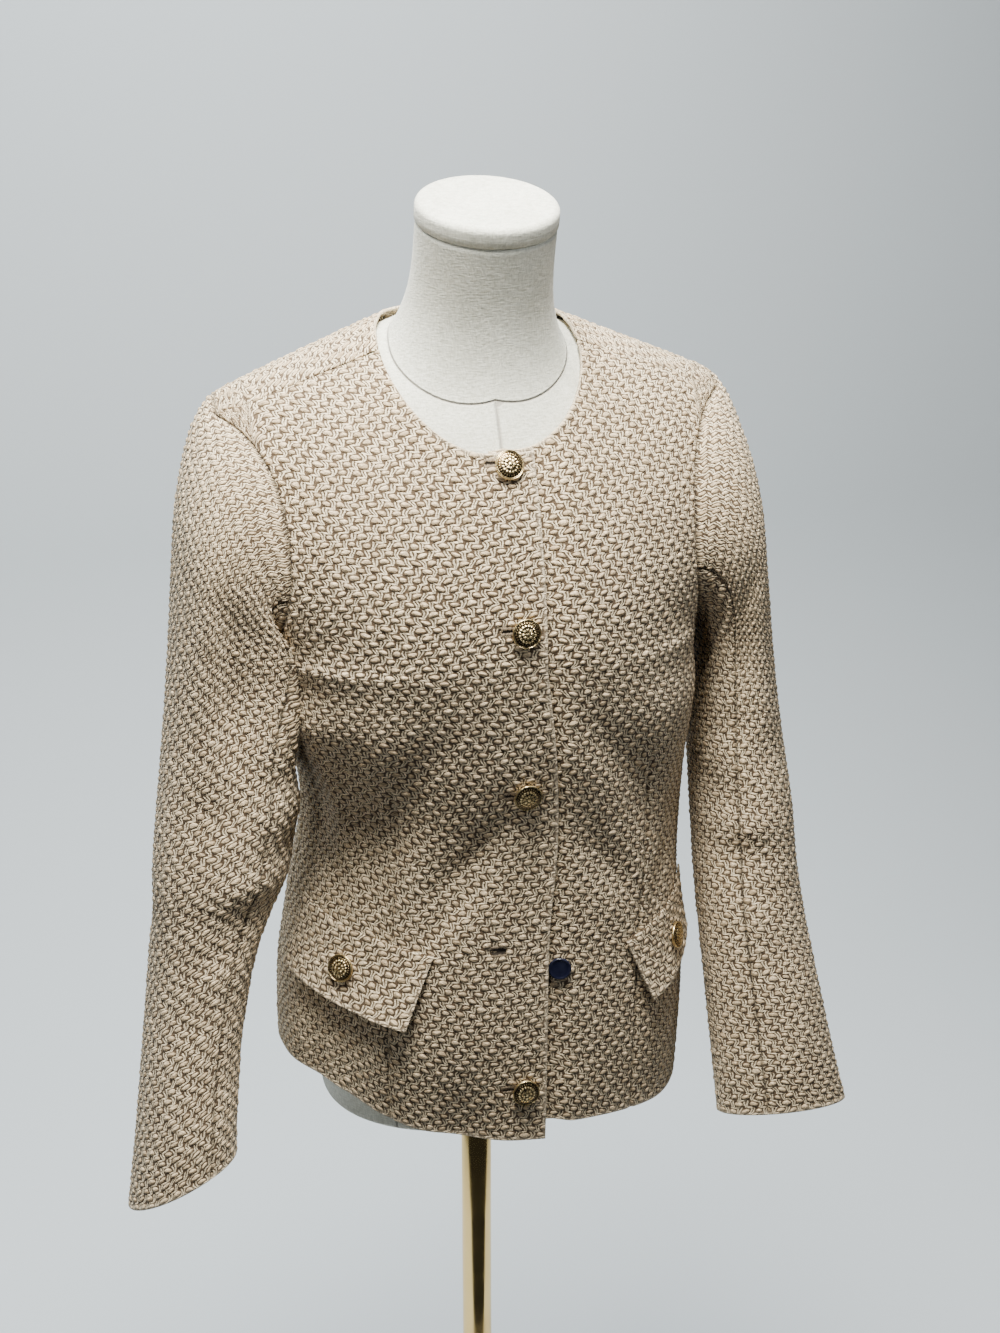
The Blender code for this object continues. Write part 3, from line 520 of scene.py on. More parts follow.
# Cap of the neck
# A round wooden disc with a rounded upper edge, covered in the same linen.
# It closes the neck of the form and leans forward with it.
CAP_THICK = 0.015
CAP_EDGE = 0.005
CAP_STEPS = 96
CAP_SEAM_RING = 4
cap_turns = np.linspace(0, 2 * np.pi, CAP_STEPS, endpoint=False)
cap_profile = [(0.0, 0.60), (0.0, 0.955), (0.0006, 0.985), (0.0018, 1.0), (0.006, 1.002)]
cap_profile.append((CAP_THICK - CAP_EDGE, 1.0))
for step in range(1, 9):
    turn = step / 8 * math.pi / 2
    inwards = CAP_EDGE / CAP_HALF_WIDTH * (1 - math.cos(turn))
    cap_profile.append((CAP_THICK - CAP_EDGE * (1 - math.sin(turn)), 1 - inwards))
cap_profile += [(CAP_THICK, 0.8), (CAP_THICK, 0.4)]
cap_points = np.concatenate([cap_ring(cap_turns, rise, share) for rise, share in cap_profile])
cap_middles = [CAP_CENTRE, CAP_CENTRE + CAP_AXIS * CAP_THICK]
cap_points = np.concatenate([cap_points, cap_middles])
neck_cap = add_piece("neck_cap", cap_points, ring_faces(len(cap_profile), len(cap_turns)), linen)
cap_seam = np.full(len(cap_points), NO_SEAM)
cap_seam[CAP_SEAM_RING * CAP_STEPS : (CAP_SEAM_RING + 1) * CAP_STEPS] = 0.001
mark_seams(neck_cap, cap_seam)
close_seams(neck_cap)
settle(neck_cap, "form_neck_cap")


# Back of the jacket
# One piece of thick slub-yarn tweed that hangs from the shoulder seams, open at the neck and the hem.
# It is sewn to the fronts at the sides and shoulders, and to the sleeves round the armholes.
WALL = 0.0025
CLEAR = 0.0004
BODY_LENGTH = 0.385
YOKE_LENGTH = 0.26
YOKE_FIRST = 0.012
QUARTER_WIDTH = 0.27
FOLD_FADE = 0.05
BACK_PITCH = 0.0021
Hem = namedtuple("Hem", "angle z")
HEM = (
    Hem(-180, 0.730),
    Hem(-120, 0.745),
    Hem(-90, 0.757),
    Hem(-70, 0.762),
    Hem(-50, 0.756),
    Hem(-36, 0.741),
    Hem(-20, 0.722),
    Hem(8, 0.708),
    Hem(45, 0.706),
    Hem(90, 0.704),
    Hem(140, 0.715),
    Hem(180, 0.730),
)
Fold = namedtuple("Fold", "angle z depth half_angle half_height lean")
BODY_FOLDS = (
    Fold(-60, 1.055, 0.0150, 38, 0.060, 0),
    Fold(50, 1.050, 0.0075, 34, 0.055, 0),
    Fold(-52, 0.965, -0.006, 13, 0.070, 90),
    Fold(-30, 1.000, -0.005, 9, 0.060, 160),
    Fold(-74, 0.965, -0.007, 11, 0.055, 30),
    Fold(-22, 0.925, -0.004, 9, 0.050, 160),
    Fold(-33, 0.790, 0.005, 9, 0.070, 20),
    Fold(-70, 0.780, 0.004, 10, 0.060, 0),
    Fold(34, 0.990, -0.006, 10, 0.060, -130),
    Fold(60, 0.950, -0.006, 12, 0.060, -60),
    Fold(45, 0.780, 0.004, 10, 0.070, 0),
    Fold(150, 0.930, -0.005, 12, 0.060, 40),
    Fold(-150, 0.930, -0.005, 12, 0.060, -40),
)

# Lesser creases, laid over the large folds
BODY_CREASES = (
    Fold(-14, 0.950, -0.0040, 5, 0.030, 260),
    Fold(-19, 0.905, -0.0036, 5, 0.035, 230),
    Fold(-9, 1.040, -0.0018, 5, 0.030, 200),
    Fold(-46, 1.040, -0.0020, 8, 0.032, 330),
    Fold(-22, 1.040, -0.0036, 8, 0.030, 300),
    Fold(-60, 0.990, 0.0040, 5, 0.060, 60),
    Fold(-42, 0.900, -0.0045, 7, 0.050, -60),
    Fold(-60, 0.915, -0.0030, 6, 0.030, -200),
    Fold(-97, 0.800, -0.0060, 6, 0.060, 0),
    Fold(20, 1.035, -0.0055, 7, 0.040, -220),
    Fold(22, 0.930, -0.0042, 6, 0.035, -240),
    Fold(48, 0.905, -0.0026, 6, 0.030, 160),
    Fold(12, 0.740, 0.0020, 6, 0.030, 0),
    Fold(-50, 0.735, 0.0030, 6, 0.040, 0),
    Fold(-14, 0.715, -0.0070, 9, 0.050, 0),
    Fold(172, 0.960, -0.0024, 6, 0.040, 180),
    Fold(-168, 0.900, -0.0024, 6, 0.040, -180),
    Fold(125, 0.780, 0.0040, 8, 0.060, 0),
    Fold(-130, 0.790, 0.0040, 8, 0.060, 0),
    Fold(160, 0.760, 0.0030, 7, 0.050, 0),
)


def body_point(angle, z):
    total = 0.0
    for fold in BODY_FOLDS + BODY_CREASES:
        away = angle - fold.angle - fold.lean * (z - fold.z)
        rise = (z - fold.z) / fold.half_height
        total = total + fold.depth * np.exp(-((away / fold.half_angle) ** 2) - rise**2)
    total = total * smooth((ARMPIT_Z - z) / FOLD_FADE)
    out = place(np.sin(np.radians(angle)), -np.cos(np.radians(angle)), 0.0 * z)
    return section_point(angle, z, BODY) + out * np.asarray(total)[..., None]


def body_normal(angle, z):
    across = body_point(angle + 0.5, z) - body_point(angle - 0.5, z)
    up = body_point(angle, z + 0.002) - body_point(angle, z - 0.002)
    return unit(np.cross(across, up))


def yoke_normal(x, lift, face):
    over = lift > 90
    facing = np.where(over, -face, face)[..., None]
    lift = np.where(over, 180 - lift, lift)
    ahead = np.where(over, -face, face)
    sides = []
    for way in (FRONT, BACK):
        across = yoke_point(x + 0.001, lift, way, CLOTH) - yoke_point(x - 0.001, lift, way, CLOTH)
        up = yoke_point(x, lift + 0.5, way, CLOTH) - yoke_point(x, np.maximum(lift - 0.5, 0), way, CLOTH)
        sides.append(unit(np.cross(across, up)))
    normal = np.where((ahead == FRONT)[..., None], sides[0], sides[1]) * facing
    crown = unit(place(np.sign(x) * SHOULDER_SLOPE, 0.0 * x, 1.0 + 0.0 * x))
    return np.where((lift > 89)[..., None], crown, normal)


def armhole_normal(side, share, face):
    turn = np.radians(2 * SEAM_AT[face]) * share
    return unit(place(0.6 * side + 0.0 * share, -face * np.sin(turn), -np.cos(turn)))


def path_length(points_at, steps=16):
    """Length of a path over the cloth, for points that a share of it gives."""
    total = 0.0
    last = points_at(0.0)
    for step in range(1, steps + 1):
        here = points_at(step / steps)
        total = total + np.linalg.norm(here - last, axis=-1)
        last = here
    return total


def spaced(length, pitch):
    """Shares along an edge at an even pitch, with closer ones where the border rolls over."""
    border = np.array((0.0005, 0.0011, 0.0019)) / length
    return np.unique(np.concatenate([np.linspace(0, 1, round(length / pitch) + 1), border, 1 - border]))


def run_of(points, axis):
    """Distance along the rows or columns of a grid, from its first points."""
    steps = np.linalg.norm(np.diff(points, axis=axis), axis=-1)
    return np.insert(np.cumsum(steps, axis=axis), 0, 0.0, axis=axis)


CHEST_ROWS = 38


def eased(points, middle, share):
    """Round the turn of a front over the fullest part of the chest."""
    near = 1 - smooth(np.abs(np.arange(len(points)) - middle) / (2 * CHEST_ROWS))
    kernel = np.hanning(2 * CHEST_ROWS + 1)
    depths = np.pad(points[..., 1], ((CHEST_ROWS, CHEST_ROWS), (0, 0)), "edge")
    averaged = sum(kernel[k] * depths[k : k + len(points)] for k in range(len(kernel))) / kernel.sum()
    turned = points.copy()
    turned[..., 1] += (averaged - points[..., 1]) * near[:, None] * share[None, :]
    return turned


def half_body(side, face, edge_x, pitch, hem_rise=0.0):
    """Points, normals, wall directions and flat places of half a front or back."""
    section = BODY[-1]
    edge_angle = math.degrees(math.asin(float(signed_power(edge_x / section.half_width, section.square / 2))))
    s = spaced(QUARTER_WIDTH - edge_x, pitch)
    r = spaced(BODY_LENGTH, pitch)[:-4][:, None]
    v = spaced(YOKE_LENGTH, pitch)
    v = v[(v == 0) | (v > YOKE_FIRST)]
    angle = edge_angle + s[None, :] * (90 - edge_angle)
    around = side * angle if face == FRONT else side * (180 - angle)
    low = along(HEM, "z", around) + hem_rise * (1 - smooth(angle / 60))
    z = low + r * (ARMPIT_Z - low)
    around = np.broadcast_to(around, z.shape)
    below = body_point(around, z)
    x, lift = yoke_places(edge_x, face, CLOTH, s, v)
    above = yoke_point(side * x, lift, face, CLOTH)
    across_above = path_length(lambda share: yoke_point(edge_x + (x - edge_x) * share, lift, face, CLOTH))
    up_above = path_length(lambda share: yoke_point(x, lift * share, face, CLOTH))
    points = np.concatenate([below, above])
    if face == FRONT:
        points = eased(points, len(r), 1 - smooth((s - 0.55) / 0.45))
    normals = np.concatenate([body_normal(around, z), yoke_normal(side * x, lift, face)])
    to_seam = np.clip(s[None, :] * COLUMNS - (COLUMNS - 1), 0, 1) * smooth(v[:, None] * 12)
    seam_way = armhole_normal(side, v[:, None] + 0.0 * s[None, :], face)
    walls = normals.copy()
    walls[len(r) :] = unit(walls[len(r) :] * (1 - to_seam[..., None]) + seam_way * to_seam[..., None])
    across = np.concatenate([run_of(below, 1), across_above])
    up = np.concatenate([np.broadcast_to((r - 1) * BODY_LENGTH, z.shape), up_above])
    return points, normals, walls, np.stack([across, up], -1), s


# The weave: thick weft slubs between pairs of thin warp ends, every other row set half a step aside,
# with a thin pick of weft between the rows
YARN_ACROSS = 0.0109
YARN_ROW = 0.0058
RELIEF = 0.0015
SLUB_HALF = (0.30, 0.37)
PLUMP_LEAST = 0.70
PLUMP_SPREAD = 0.45
CELL_MIX = 3.13
ROW_MIX = 5.71
PLUMP_MIX = 17.3
THIN_RISE = 0.32

# Waver of hand-spun yarn, in steps of the weave
Waver = namedtuple("Waver", "size across up start")
ACROSS_WAVER = (Waver(0.12, 0.07, 0.13, 0), Waver(0.08, -0.19, 0.41, 1), Waver(0.05, 0.37, 0.83, 2))
UP_WAVER = (Waver(0.14, 0.09, 0.03, 2), Waver(0.10, 0.31, 0.11, 0), Waver(0.06, 0.67, -0.29, 1))


def yarn_places(cut):
    """Places on the cloth in steps of the weave, with its waver."""
    u = cut[..., 0] / YARN_ACROSS
    v = cut[..., 1] / YARN_ROW

    def wavered(straight, wavers):
        moved = straight
        for waver in wavers:
            turn = 2 * np.pi * (waver.across * u + waver.up * v) + waver.start
            moved = moved + waver.size * np.sin(turn)
        return moved

    return np.stack([wavered(u, ACROSS_WAVER), wavered(v, UP_WAVER)], -1)


def weave_height(yarns):
    row = np.floor(yarns[..., 1])
    shifted = yarns[..., 0] + 0.5 * np.mod(row, 2)
    cell = np.floor(shifted)
    x = (shifted - cell - 0.5) / SLUB_HALF[0]
    y = (yarns[..., 1] - row - 0.5) / SLUB_HALF[1]
    chance = np.mod(PLUMP_MIX * np.sin(CELL_MIX * cell + ROW_MIX * row), 1.0)
    plump = PLUMP_LEAST + PLUMP_SPREAD * chance
    return np.maximum(np.sqrt(np.clip(plump - x**2 - y**2, 0, 1)), THIN_RISE)


def rolled(distance, depth, width):
    """How far cloth turns in beside an edge."""
    near = np.clip(1 - distance / width, 0, 1)
    return -depth * (1 - np.sqrt(1 - near**2))


SEAM = (0.0022, 0.0048)
TURNED_EDGE = (0.0013, 0.0022)
SHOULDER_SHARE = 0.25
EDGE_MARK = 0.0024
DART_DEPTH = 0.0024
WRONG_SIDE_STEP = 6


def cloth_piece(name, points, normals, walls, cut, borders, groove=0.0):
    """Thick cloth: a woven face, a plain wrong side and a rim between them."""
    rows, columns = points.shape[:2]
    from_start = run_of(points, 1)
    from_low = run_of(points, 0)
    distance = {
        "start": from_start,
        "end": from_start[:, -1:] - from_start,
        "low": from_low,
        "top": from_low[-1:] - from_low,
    }
    roll = np.zeros((rows, columns))
    # The sewn mark grows in seams, darts and buttonhole dips: it flattens the weave there, and the finish
    # turns it into painted shade
    sewn = np.clip(-groove / DART_DEPTH, 0, 1) + np.zeros((rows, columns))
    folded = np.zeros((rows, columns))
    for border, kind, where in borders:
        roll = np.minimum(roll, rolled(distance[border], *kind) * where)
        near = np.exp(-((distance[border] / EDGE_MARK) ** 2)) * where
        if kind == SEAM:
            sewn = np.maximum(sewn, near)
        else:
            folded = np.maximum(folded, near)
    yarns = yarn_places(cut)
    height = weave_height(yarns)
    height = height + (0.80 - height) * folded + (0.35 - height) * sewn * 0.6
    face = points + normals * (RELIEF * (height - 0.85) + roll + groove)[..., None]
    inner_rows = sorted({*range(0, rows, WRONG_SIDE_STEP), rows - 1})
    inner_columns = sorted({*range(0, columns, WRONG_SIDE_STEP), columns - 1})
    wrong = (points - walls * WALL)[np.ix_(inner_rows, inner_columns)]
    outer = np.arange(rows * columns).reshape(rows, columns)
    inner = rows * columns + np.arange(wrong.shape[0] * wrong.shape[1]).reshape(wrong.shape[:2])

    def quads(index):
        return np.stack([index[:-1, :-1], index[:-1, 1:], index[1:, 1:], index[1:, :-1]], -1).reshape(-1, 4)

    faces = quads(outer).tolist() + quads(inner)[:, ::-1].tolist()
    for k, (first, last) in enumerate(zip(inner_columns, inner_columns[1:])):
        faces.append([*outer[0, first : last + 1][::-1].tolist(), int(inner[0, k]), int(inner[0, k + 1])])
        faces.append([*outer[-1, first : last + 1].tolist(), int(inner[-1, k + 1]), int(inner[-1, k])])
    for k, (first, last) in enumerate(zip(inner_rows, inner_rows[1:])):
        faces.append([*outer[first : last + 1, 0].tolist(), int(inner[k + 1, 0]), int(inner[k, 0])])
        faces.append([*outer[first : last + 1, -1][::-1].tolist(), int(inner[k, -1]), int(inner[k + 1, -1])])
    middle = rows // 2, columns // 2
    across = points[middle[0], middle[1] + 3] - points[middle]
    up = points[middle[0] + 3, middle[1]] - points[middle]
    if float(np.dot(np.cross(across, up), normals[middle])) < 0:
        faces = [corners[::-1] for corners in faces]
    piece = add_piece(name, np.concatenate([face.reshape(-1, 3), wrong.reshape(-1, 3)]), faces, tweed)
    places = np.concatenate([yarns.reshape(-1, 2), yarns[np.ix_(inner_rows, inner_columns)].reshape(-1, 2)])
    corners = np.empty(len(piece.data.loops), np.int32)
    piece.data.loops.foreach_get("vertex_index", corners)
    flat = piece.data.uv_layers.new(name="cut")
    flat.data.foreach_set("uv", places[corners].astype(np.float32).ravel())
    for label, amount in (("sewn", sewn), ("folded", folded)):
        values = np.concatenate([amount.ravel(), amount[np.ix_(inner_rows, inner_columns)].ravel()])
        marks = piece.data.attributes.new(label, "FLOAT", "POINT")
        marks.data.foreach_set("value", values.astype(np.float32))
    return piece


weave, weave_in, weave_out = effect_group(
    "slub_weave",
    (("Yarns", "NodeSocketVector"),),
    [(label, "NodeSocketFloat") for label in ("Slub", "Ends", "Height", "Chance")],
)


def woven(operation, *values):
    return sum_of(weave, operation, *values)


def rounded_yarn(squares):
    """Height of a round yarn, from 1 along its middle down to 0 at its edge."""
    return woven("SQRT", woven("MAXIMUM", woven("SUBTRACT", 1.0, squares), 0.0))


weave_axes = joined(weave, "ShaderNodeSeparateXYZ", {0: weave_in["Yarns"]}).outputs
weave_row = woven("FLOOR", weave_axes["Y"])
weave_odd = woven("FLOORED_MODULO", weave_row, 2.0)
weave_shifted = woven("MULTIPLY_ADD", weave_odd, 0.5, weave_axes["X"])
weave_cell = woven("FLOOR", weave_shifted)
weave_x = woven("SUBTRACT", woven("SUBTRACT", weave_shifted, weave_cell), 0.5)
weave_y = woven("SUBTRACT", woven("SUBTRACT", weave_axes["Y"], weave_row), 0.5)

# The slubs, some plumper than others
plump_turn = woven("MULTIPLY_ADD", weave_cell, CELL_MIX, woven("MULTIPLY", weave_row, ROW_MIX))
plump_part = woven("FLOORED_MODULO", woven("MULTIPLY", woven("SINE", plump_turn), PLUMP_MIX), 1.0)
plump = woven("MULTIPLY_ADD", plump_part, PLUMP_SPREAD, PLUMP_LEAST)
slub_x = woven("POWER", woven("ABSOLUTE", woven("DIVIDE", weave_x, SLUB_HALF[0])), 2.0)
slub_y = woven("POWER", woven("ABSOLUTE", woven("DIVIDE", weave_y, SLUB_HALF[1])), 2.0)
slub_full = woven("SUBTRACT", plump, woven("ADD", slub_x, slub_y))
slub_round = woven("SQRT", woven("MAXIMUM", slub_full, 0.0))

# The two thin ends that pass over the weft between two slubs, leaning a little
ENDS_AT = 0.41
ENDS_HALF = 0.062
ENDS_LEAN = 0.07
ends_lean = woven("MULTIPLY_ADD", weave_y, ENDS_LEAN, woven("ABSOLUTE", weave_x))
ends_off = woven("DIVIDE", woven("SUBTRACT", ends_lean, ENDS_AT), ENDS_HALF)
ends_round = rounded_yarn(woven("MULTIPLY", ends_off, ends_off))

# The thin pick that shows between two rows, a quarter of a step aside
PICK_ASIDE = 0.25
PICK_HALF = (0.29, 0.14)
pick_side = woven("SIGN", weave_y)
pick_x = woven("WRAP", woven("MULTIPLY_ADD", pick_side, -PICK_ASIDE, weave_x), 0.5, -0.5)
pick_off = woven("DIVIDE", woven("SUBTRACT", 0.5, woven("ABSOLUTE", weave_y)), PICK_HALF[1])
pick_long = woven("DIVIDE", pick_x, PICK_HALF[0])
pick_round = rounded_yarn(woven("MULTIPLY_ADD", pick_off, pick_off, woven("MULTIPLY", pick_long, pick_long)))
thin_yarns = woven("MAXIMUM", ends_round, pick_round)
weave_spot = joined(weave, "ShaderNodeCombineXYZ", {0: weave_cell, 1: weave_row}).outputs[0]
weave_chance = joined(weave, "ShaderNodeTexWhiteNoise", {"Vector": weave_spot}, noise_dimensions="2D")
weave.links.new(slub_round, weave_out["Slub"])
weave.links.new(thin_yarns, weave_out["Ends"])
weave.links.new(woven("MAXIMUM", slub_round, woven("MULTIPLY", thin_yarns, 0.65)), weave_out["Height"])
weave.links.new(weave_chance.outputs["Value"], weave_out["Chance"])

# Oatmeal tweed: taupe weft slubs, cream warp ends, and painted shade in the gaps between them
SLUB_TAUPE = (0.54, 0.40, 0.245)
SLUB_OATMEAL = (0.76, 0.59, 0.385)
GAP_SHADE = (0.105, 0.070, 0.042)
END_CREAM = (0.90, 0.735, 0.505)
EDGE_OATMEAL = (0.70, 0.58, 0.425)
tweed, tweed_tree, tweed_shader = new_material("oatmeal_tweed", (0.62, 0.52, 0.41), 0.92, 0.0)
tweed_shader.inputs["Specular IOR Level"].default_value = 0.25
tweed_shader.inputs["Sheen Weight"].default_value = 0.12
tweed_shader.inputs["Sheen Roughness"].default_value = 0.5
tweed_shader.inputs["Sheen Tint"].default_value = (1.0, 0.95, 0.88, 1)
tweed_cut = joined(tweed_tree, "ShaderNodeUVMap", {}, uv_map="cut").outputs[0]
tweed_weave = joined(tweed_tree, "ShaderNodeGroup", {"Yarns": tweed_cut}, node_tree=weave).outputs
slub_tone = toned(tweed_tree, tweed_weave["Chance"], SLUB_TAUPE, SLUB_OATMEAL)
# Painted shade fills the gaps where no slub and no end lies
gap_tone = toned(tweed_tree, ranged(tweed_tree, tweed_weave["Ends"], 0.1, 0.7), GAP_SHADE, END_CREAM)
yarn_tone = toned(tweed_tree, ranged(tweed_tree, tweed_weave["Slub"], 0.10, 0.55), gap_tone, slub_tone)

# Strands of fibre along the yarns: their tone varies, the brightest strands carry painted glints, and dark
# lines of painted shade lie where two plies meet
strand_place = joined(
    tweed_tree,
    "ShaderNodeMapping",
    {"Vector": tweed_cut, "Rotation": (0.0, 0.0, 0.45), "Scale": (0.30, 0.17, 1.0)},
    vector_type="TEXTURE",
)
strand_cloud = joined(
    tweed_tree,
    "ShaderNodeTexNoise",
    {"Vector": strand_place.outputs[0], "Scale": 1.0, "Detail": 3.0, "Roughness": 0.62},
)
strands = strand_cloud.outputs["Fac"]
strand_tone_and_glint = ranged(tweed_tree, strands, 0.3, 0.7, 0.74, 1.40)
ply_off = sum_of(tweed_tree, "ABSOLUTE", sum_of(tweed_tree, "SUBTRACT", strands, 0.47))
ply_crevice_shade = ranged(tweed_tree, ply_off, 0.0, 0.055, 0.36, 1.0)


def shaded(colour, share):
    """A colour of the tweed made darker or lighter by a share."""
    values = {0: colour, "Scale": share}
    return joined(tweed_tree, "ShaderNodeVectorMath", values, operation="SCALE").outputs[0]


def marked(name):
    return joined(tweed_tree, "ShaderNodeAttribute", {}, attribute_name=name).outputs["Fac"]


# Painted shade darkens the seams, the darts and the dips of the buttonholes, and a turned edge shows less of
# the weave
tweed_tone = shaded(yarn_tone, sum_of(tweed_tree, "MULTIPLY", strand_tone_and_glint, ply_crevice_shade))
seam_shade_tone = shaded(tweed_tone, ranged(tweed_tree, marked("sewn"), 0.35, 0.95, 1.0, 0.5))
folded_share = sum_of(tweed_tree, "MULTIPLY", marked("folded"), 0.7)
edge_tone = toned(tweed_tree, folded_share, seam_shade_tone, EDGE_OATMEAL)
tweed_tree.links.new(edge_tone, tweed_shader.inputs["Base Color"])
tweed_height = sum_of(tweed_tree, "MULTIPLY_ADD", strands, 0.7, tweed_weave["Height"])
emboss(tweed_tree, tweed_shader, tweed_height, 0.7, RELIEF)


def dress(piece, node):
    settle(piece, node)


right_half = half_body(-1, BACK, 0.0, BACK_PITCH)
left_half = half_body(1, BACK, 0.0, BACK_PITCH)
back_parts = []
for right, left in zip(right_half[:3], left_half[:3]):
    back_parts.append(np.concatenate([right[:, ::-1], left[:, 1:]], axis=1))
back_cut = np.concatenate([right_half[3][:, ::-1] * np.array((-1, 1)), left_half[3][:, 1:]], axis=1)
back_share = np.concatenate([right_half[4][::-1], left_half[4][1:]])
at_shoulder = (back_share >= NECK_COLUMNS / COLUMNS)[None, :] * 1.0
back_borders = (
    ("start", SEAM, 1.0),
    ("end", SEAM, 1.0),
    ("low", TURNED_EDGE, 1.0),
    ("top", SEAM, at_shoulder * SHOULDER_SHARE),
    ("top", TURNED_EDGE, 1 - at_shoulder),
)
back_cloth = cloth_piece("back_cloth", *back_parts, back_cut, back_borders)
dress(back_cloth, "back")


# Fronts
# Two pieces of the same tweed, each with one waist dart sewn down to the hem.
# The wearer's right front laps over the left one and buttons to it; both edges are turned in.
CLOSING_X = 0.005
LAP = 0.0165
LAP_FADE = 0.020
UNDER_HEM_RISE = 0.015
UNDER_EASE = 0.0018
FRONT_PITCH = 0.0016
DART_TOP_Z = 1.030
DART_FADE = 0.06
DART_HALF = 0.0019
Dart = namedtuple("Dart", "z angle")
DART = (Dart(0.700, 32.5), Dart(0.810, 33.0), Dart(0.950, 38.5), Dart(1.040, 37.0))


def under_step(x):
    """How far the left front lies in, where the right one laps over it."""
    return (WALL + 2 * CLEAR + UNDER_EASE) * (1 - smooth((x - CLOSING_X - LAP - 0.004) / LAP_FADE))


def dart_groove(points, side):
    """The sewn line of the waist dart: a narrow groove that fades out below the bust."""
    z = points[..., 2]
    line = body_point(side * along(DART, "angle", z), z)
    off = np.linalg.norm(points[..., :2] - line[..., :2], axis=-1)
    fade = smooth((DART_TOP_Z - z) / DART_FADE) * (z < ARMPIT_Z)
    return -DART_DEPTH * np.exp(-((off / DART_HALF) ** 2)) * fade


def front_place(x, z):
    """Place and direction of the cloth of the right front, at a distance from the middle and a height."""
    if z > ARMPIT_Z:
        share = (z - ARMPIT_Z) / (float(ridge_z(x, CLOTH)) - ARMPIT_Z)
        lift = np.array(math.degrees(math.asin(share ** (FRONT_CROWN / 2))))
        return yoke_point(x, lift, FRONT, CLOTH), yoke_normal(np.array(x), lift, FRONT)
    across = (x - along(BODY, "shift", z)) / along(BODY, "half_width", z)
    angle = np.degrees(np.arcsin(signed_power(across, along(BODY, "square", z) / 2)))
    return body_point(angle, np.array(z)), body_normal(angle, np.array(z))


# Buttonholes of the right front, from the button outwards
Hole = namedtuple("Hole", "outer_x inner_x z open")
HOLES = (
    Hole(-0.0155, -0.0085, 1.242, 0.0014),
    Hole(-0.0125, -0.0040, 1.128, 0.0014),
    Hole(-0.0095, -0.0010, 0.999, 0.0014),
    Hole(-0.0200, -0.0085, 0.874, 0.0029),
    Hole(-0.0125, -0.0040, 0.757, 0.0014),
)
HOLE_DIP = 0.0016
HOLE_DIP_HALF = 0.0026


def hole_line(hole, steps):
    """Places and directions along the slit of a buttonhole."""
    spots = [front_place(x, hole.z) for x in np.linspace(hole.outer_x, hole.inner_x, steps)]
    return np.array([spot for spot, _ in spots]), np.array([way for _, way in spots])


def hole_groove(points):
    """The cloth dips along each buttonhole."""
    depth = np.zeros(points.shape[:2])
    for hole in HOLES:
        for spot in hole_line(hole, 9)[0]:
            off = np.linalg.norm(points - spot, axis=-1)
            depth = np.minimum(depth, -HOLE_DIP * np.exp(-((off / HOLE_DIP_HALF) ** 2)))
    return depth


def front(name, side, edge_x, hem_rise, under):
    points, normals, walls, cut, s = half_body(side, FRONT, edge_x, FRONT_PITCH, hem_rise)
    if under:
        points = points - normals * under_step(points[..., 0])[..., None]
    shoulder = (s >= NECK_COLUMNS / COLUMNS)[None, :] * 1.0
    borders = (
        ("start", TURNED_EDGE, 1.0),
        ("end", SEAM, 1.0),
        ("low", TURNED_EDGE, 1.0),
        ("top", SEAM, shoulder * SHOULDER_SHARE),
        ("top", TURNED_EDGE, 1 - shoulder),
    )
    groove = dart_groove(points, side)
    if not under:
        groove = groove + hole_groove(points)
    return cloth_piece(name, points, normals, walls, cut, borders, groove)


right_front = front("right_front", -1, -(CLOSING_X + LAP), 0.0, False)
dress(right_front, "front_right")
left_front = front("left_front", 1, CLOSING_X - LAP, UNDER_HEM_RISE, True)
dress(left_front, "front_left")


# Sleeves
# Each has an upper and an under piece of tweed, sewn together down the front and back of the arm.
# The head is eased into the armhole, the cuff is turned in, and the empty sleeve hangs bent at the elbow.
Guide = namedtuple("Guide", "level outer_x outer_z inner_x inner_z middle_y half_depth")
SLEEVE_RIGHT = (
    Guide(0, 0.194, 1.275, 0.170, 1.095, -0.005, 0.078),
    Guide(1, 0.207, 1.269, 0.173, 1.089, -0.006, 0.078),
    Guide(2, 0.217, 1.246, 0.173, 1.078, -0.009, 0.075),
    Guide(3, 0.227, 1.190, 0.167, 1.055, -0.018, 0.069),
    Guide(4, 0.237, 1.110, 0.156, 1.022, -0.031, 0.062),
    Guide(5, 0.247, 1.035, 0.147, 0.980, -0.042, 0.057),
    Guide(6, 0.258, 0.950, 0.158, 0.930, -0.053, 0.054),
    Guide(7, 0.268, 0.880, 0.185, 0.880, -0.065, 0.051),
    Guide(8, 0.280, 0.805, 0.202, 0.820, -0.083, 0.048),
    Guide(9, 0.291, 0.740, 0.211, 0.767, -0.101, 0.046),
    Guide(10, 0.300, 0.692, 0.216, 0.727, -0.114, 0.045),
)
SLEEVE_LEFT = (
    Guide(0, 0.194, 1.275, 0.170, 1.095, -0.005, 0.078),
    Guide(1, 0.205, 1.267, 0.173, 1.089, -0.006, 0.078),
    Guide(2, 0.2125, 1.240, 0.175, 1.078, -0.008, 0.075),
    Guide(3, 0.2205, 1.185, 0.176, 1.055, -0.011, 0.068),
    Guide(4, 0.230, 1.110, 0.175, 1.022, -0.017, 0.060),
    Guide(5, 0.238, 1.030, 0.173, 0.980, -0.027, 0.054),
    Guide(6, 0.246, 0.945, 0.171, 0.925, -0.042, 0.049),
    Guide(7, 0.254, 0.875, 0.170, 0.865, -0.060, 0.045),
    Guide(8, 0.265, 0.800, 0.171, 0.797, -0.083, 0.040),
    Guide(9, 0.276, 0.737, 0.173, 0.737, -0.100, 0.037),
    Guide(10, 0.286, 0.690, 0.175, 0.692, -0.111, 0.035),
)
SleeveFold = namedtuple("SleeveFold", "level turn depth half_level half_turn lean")
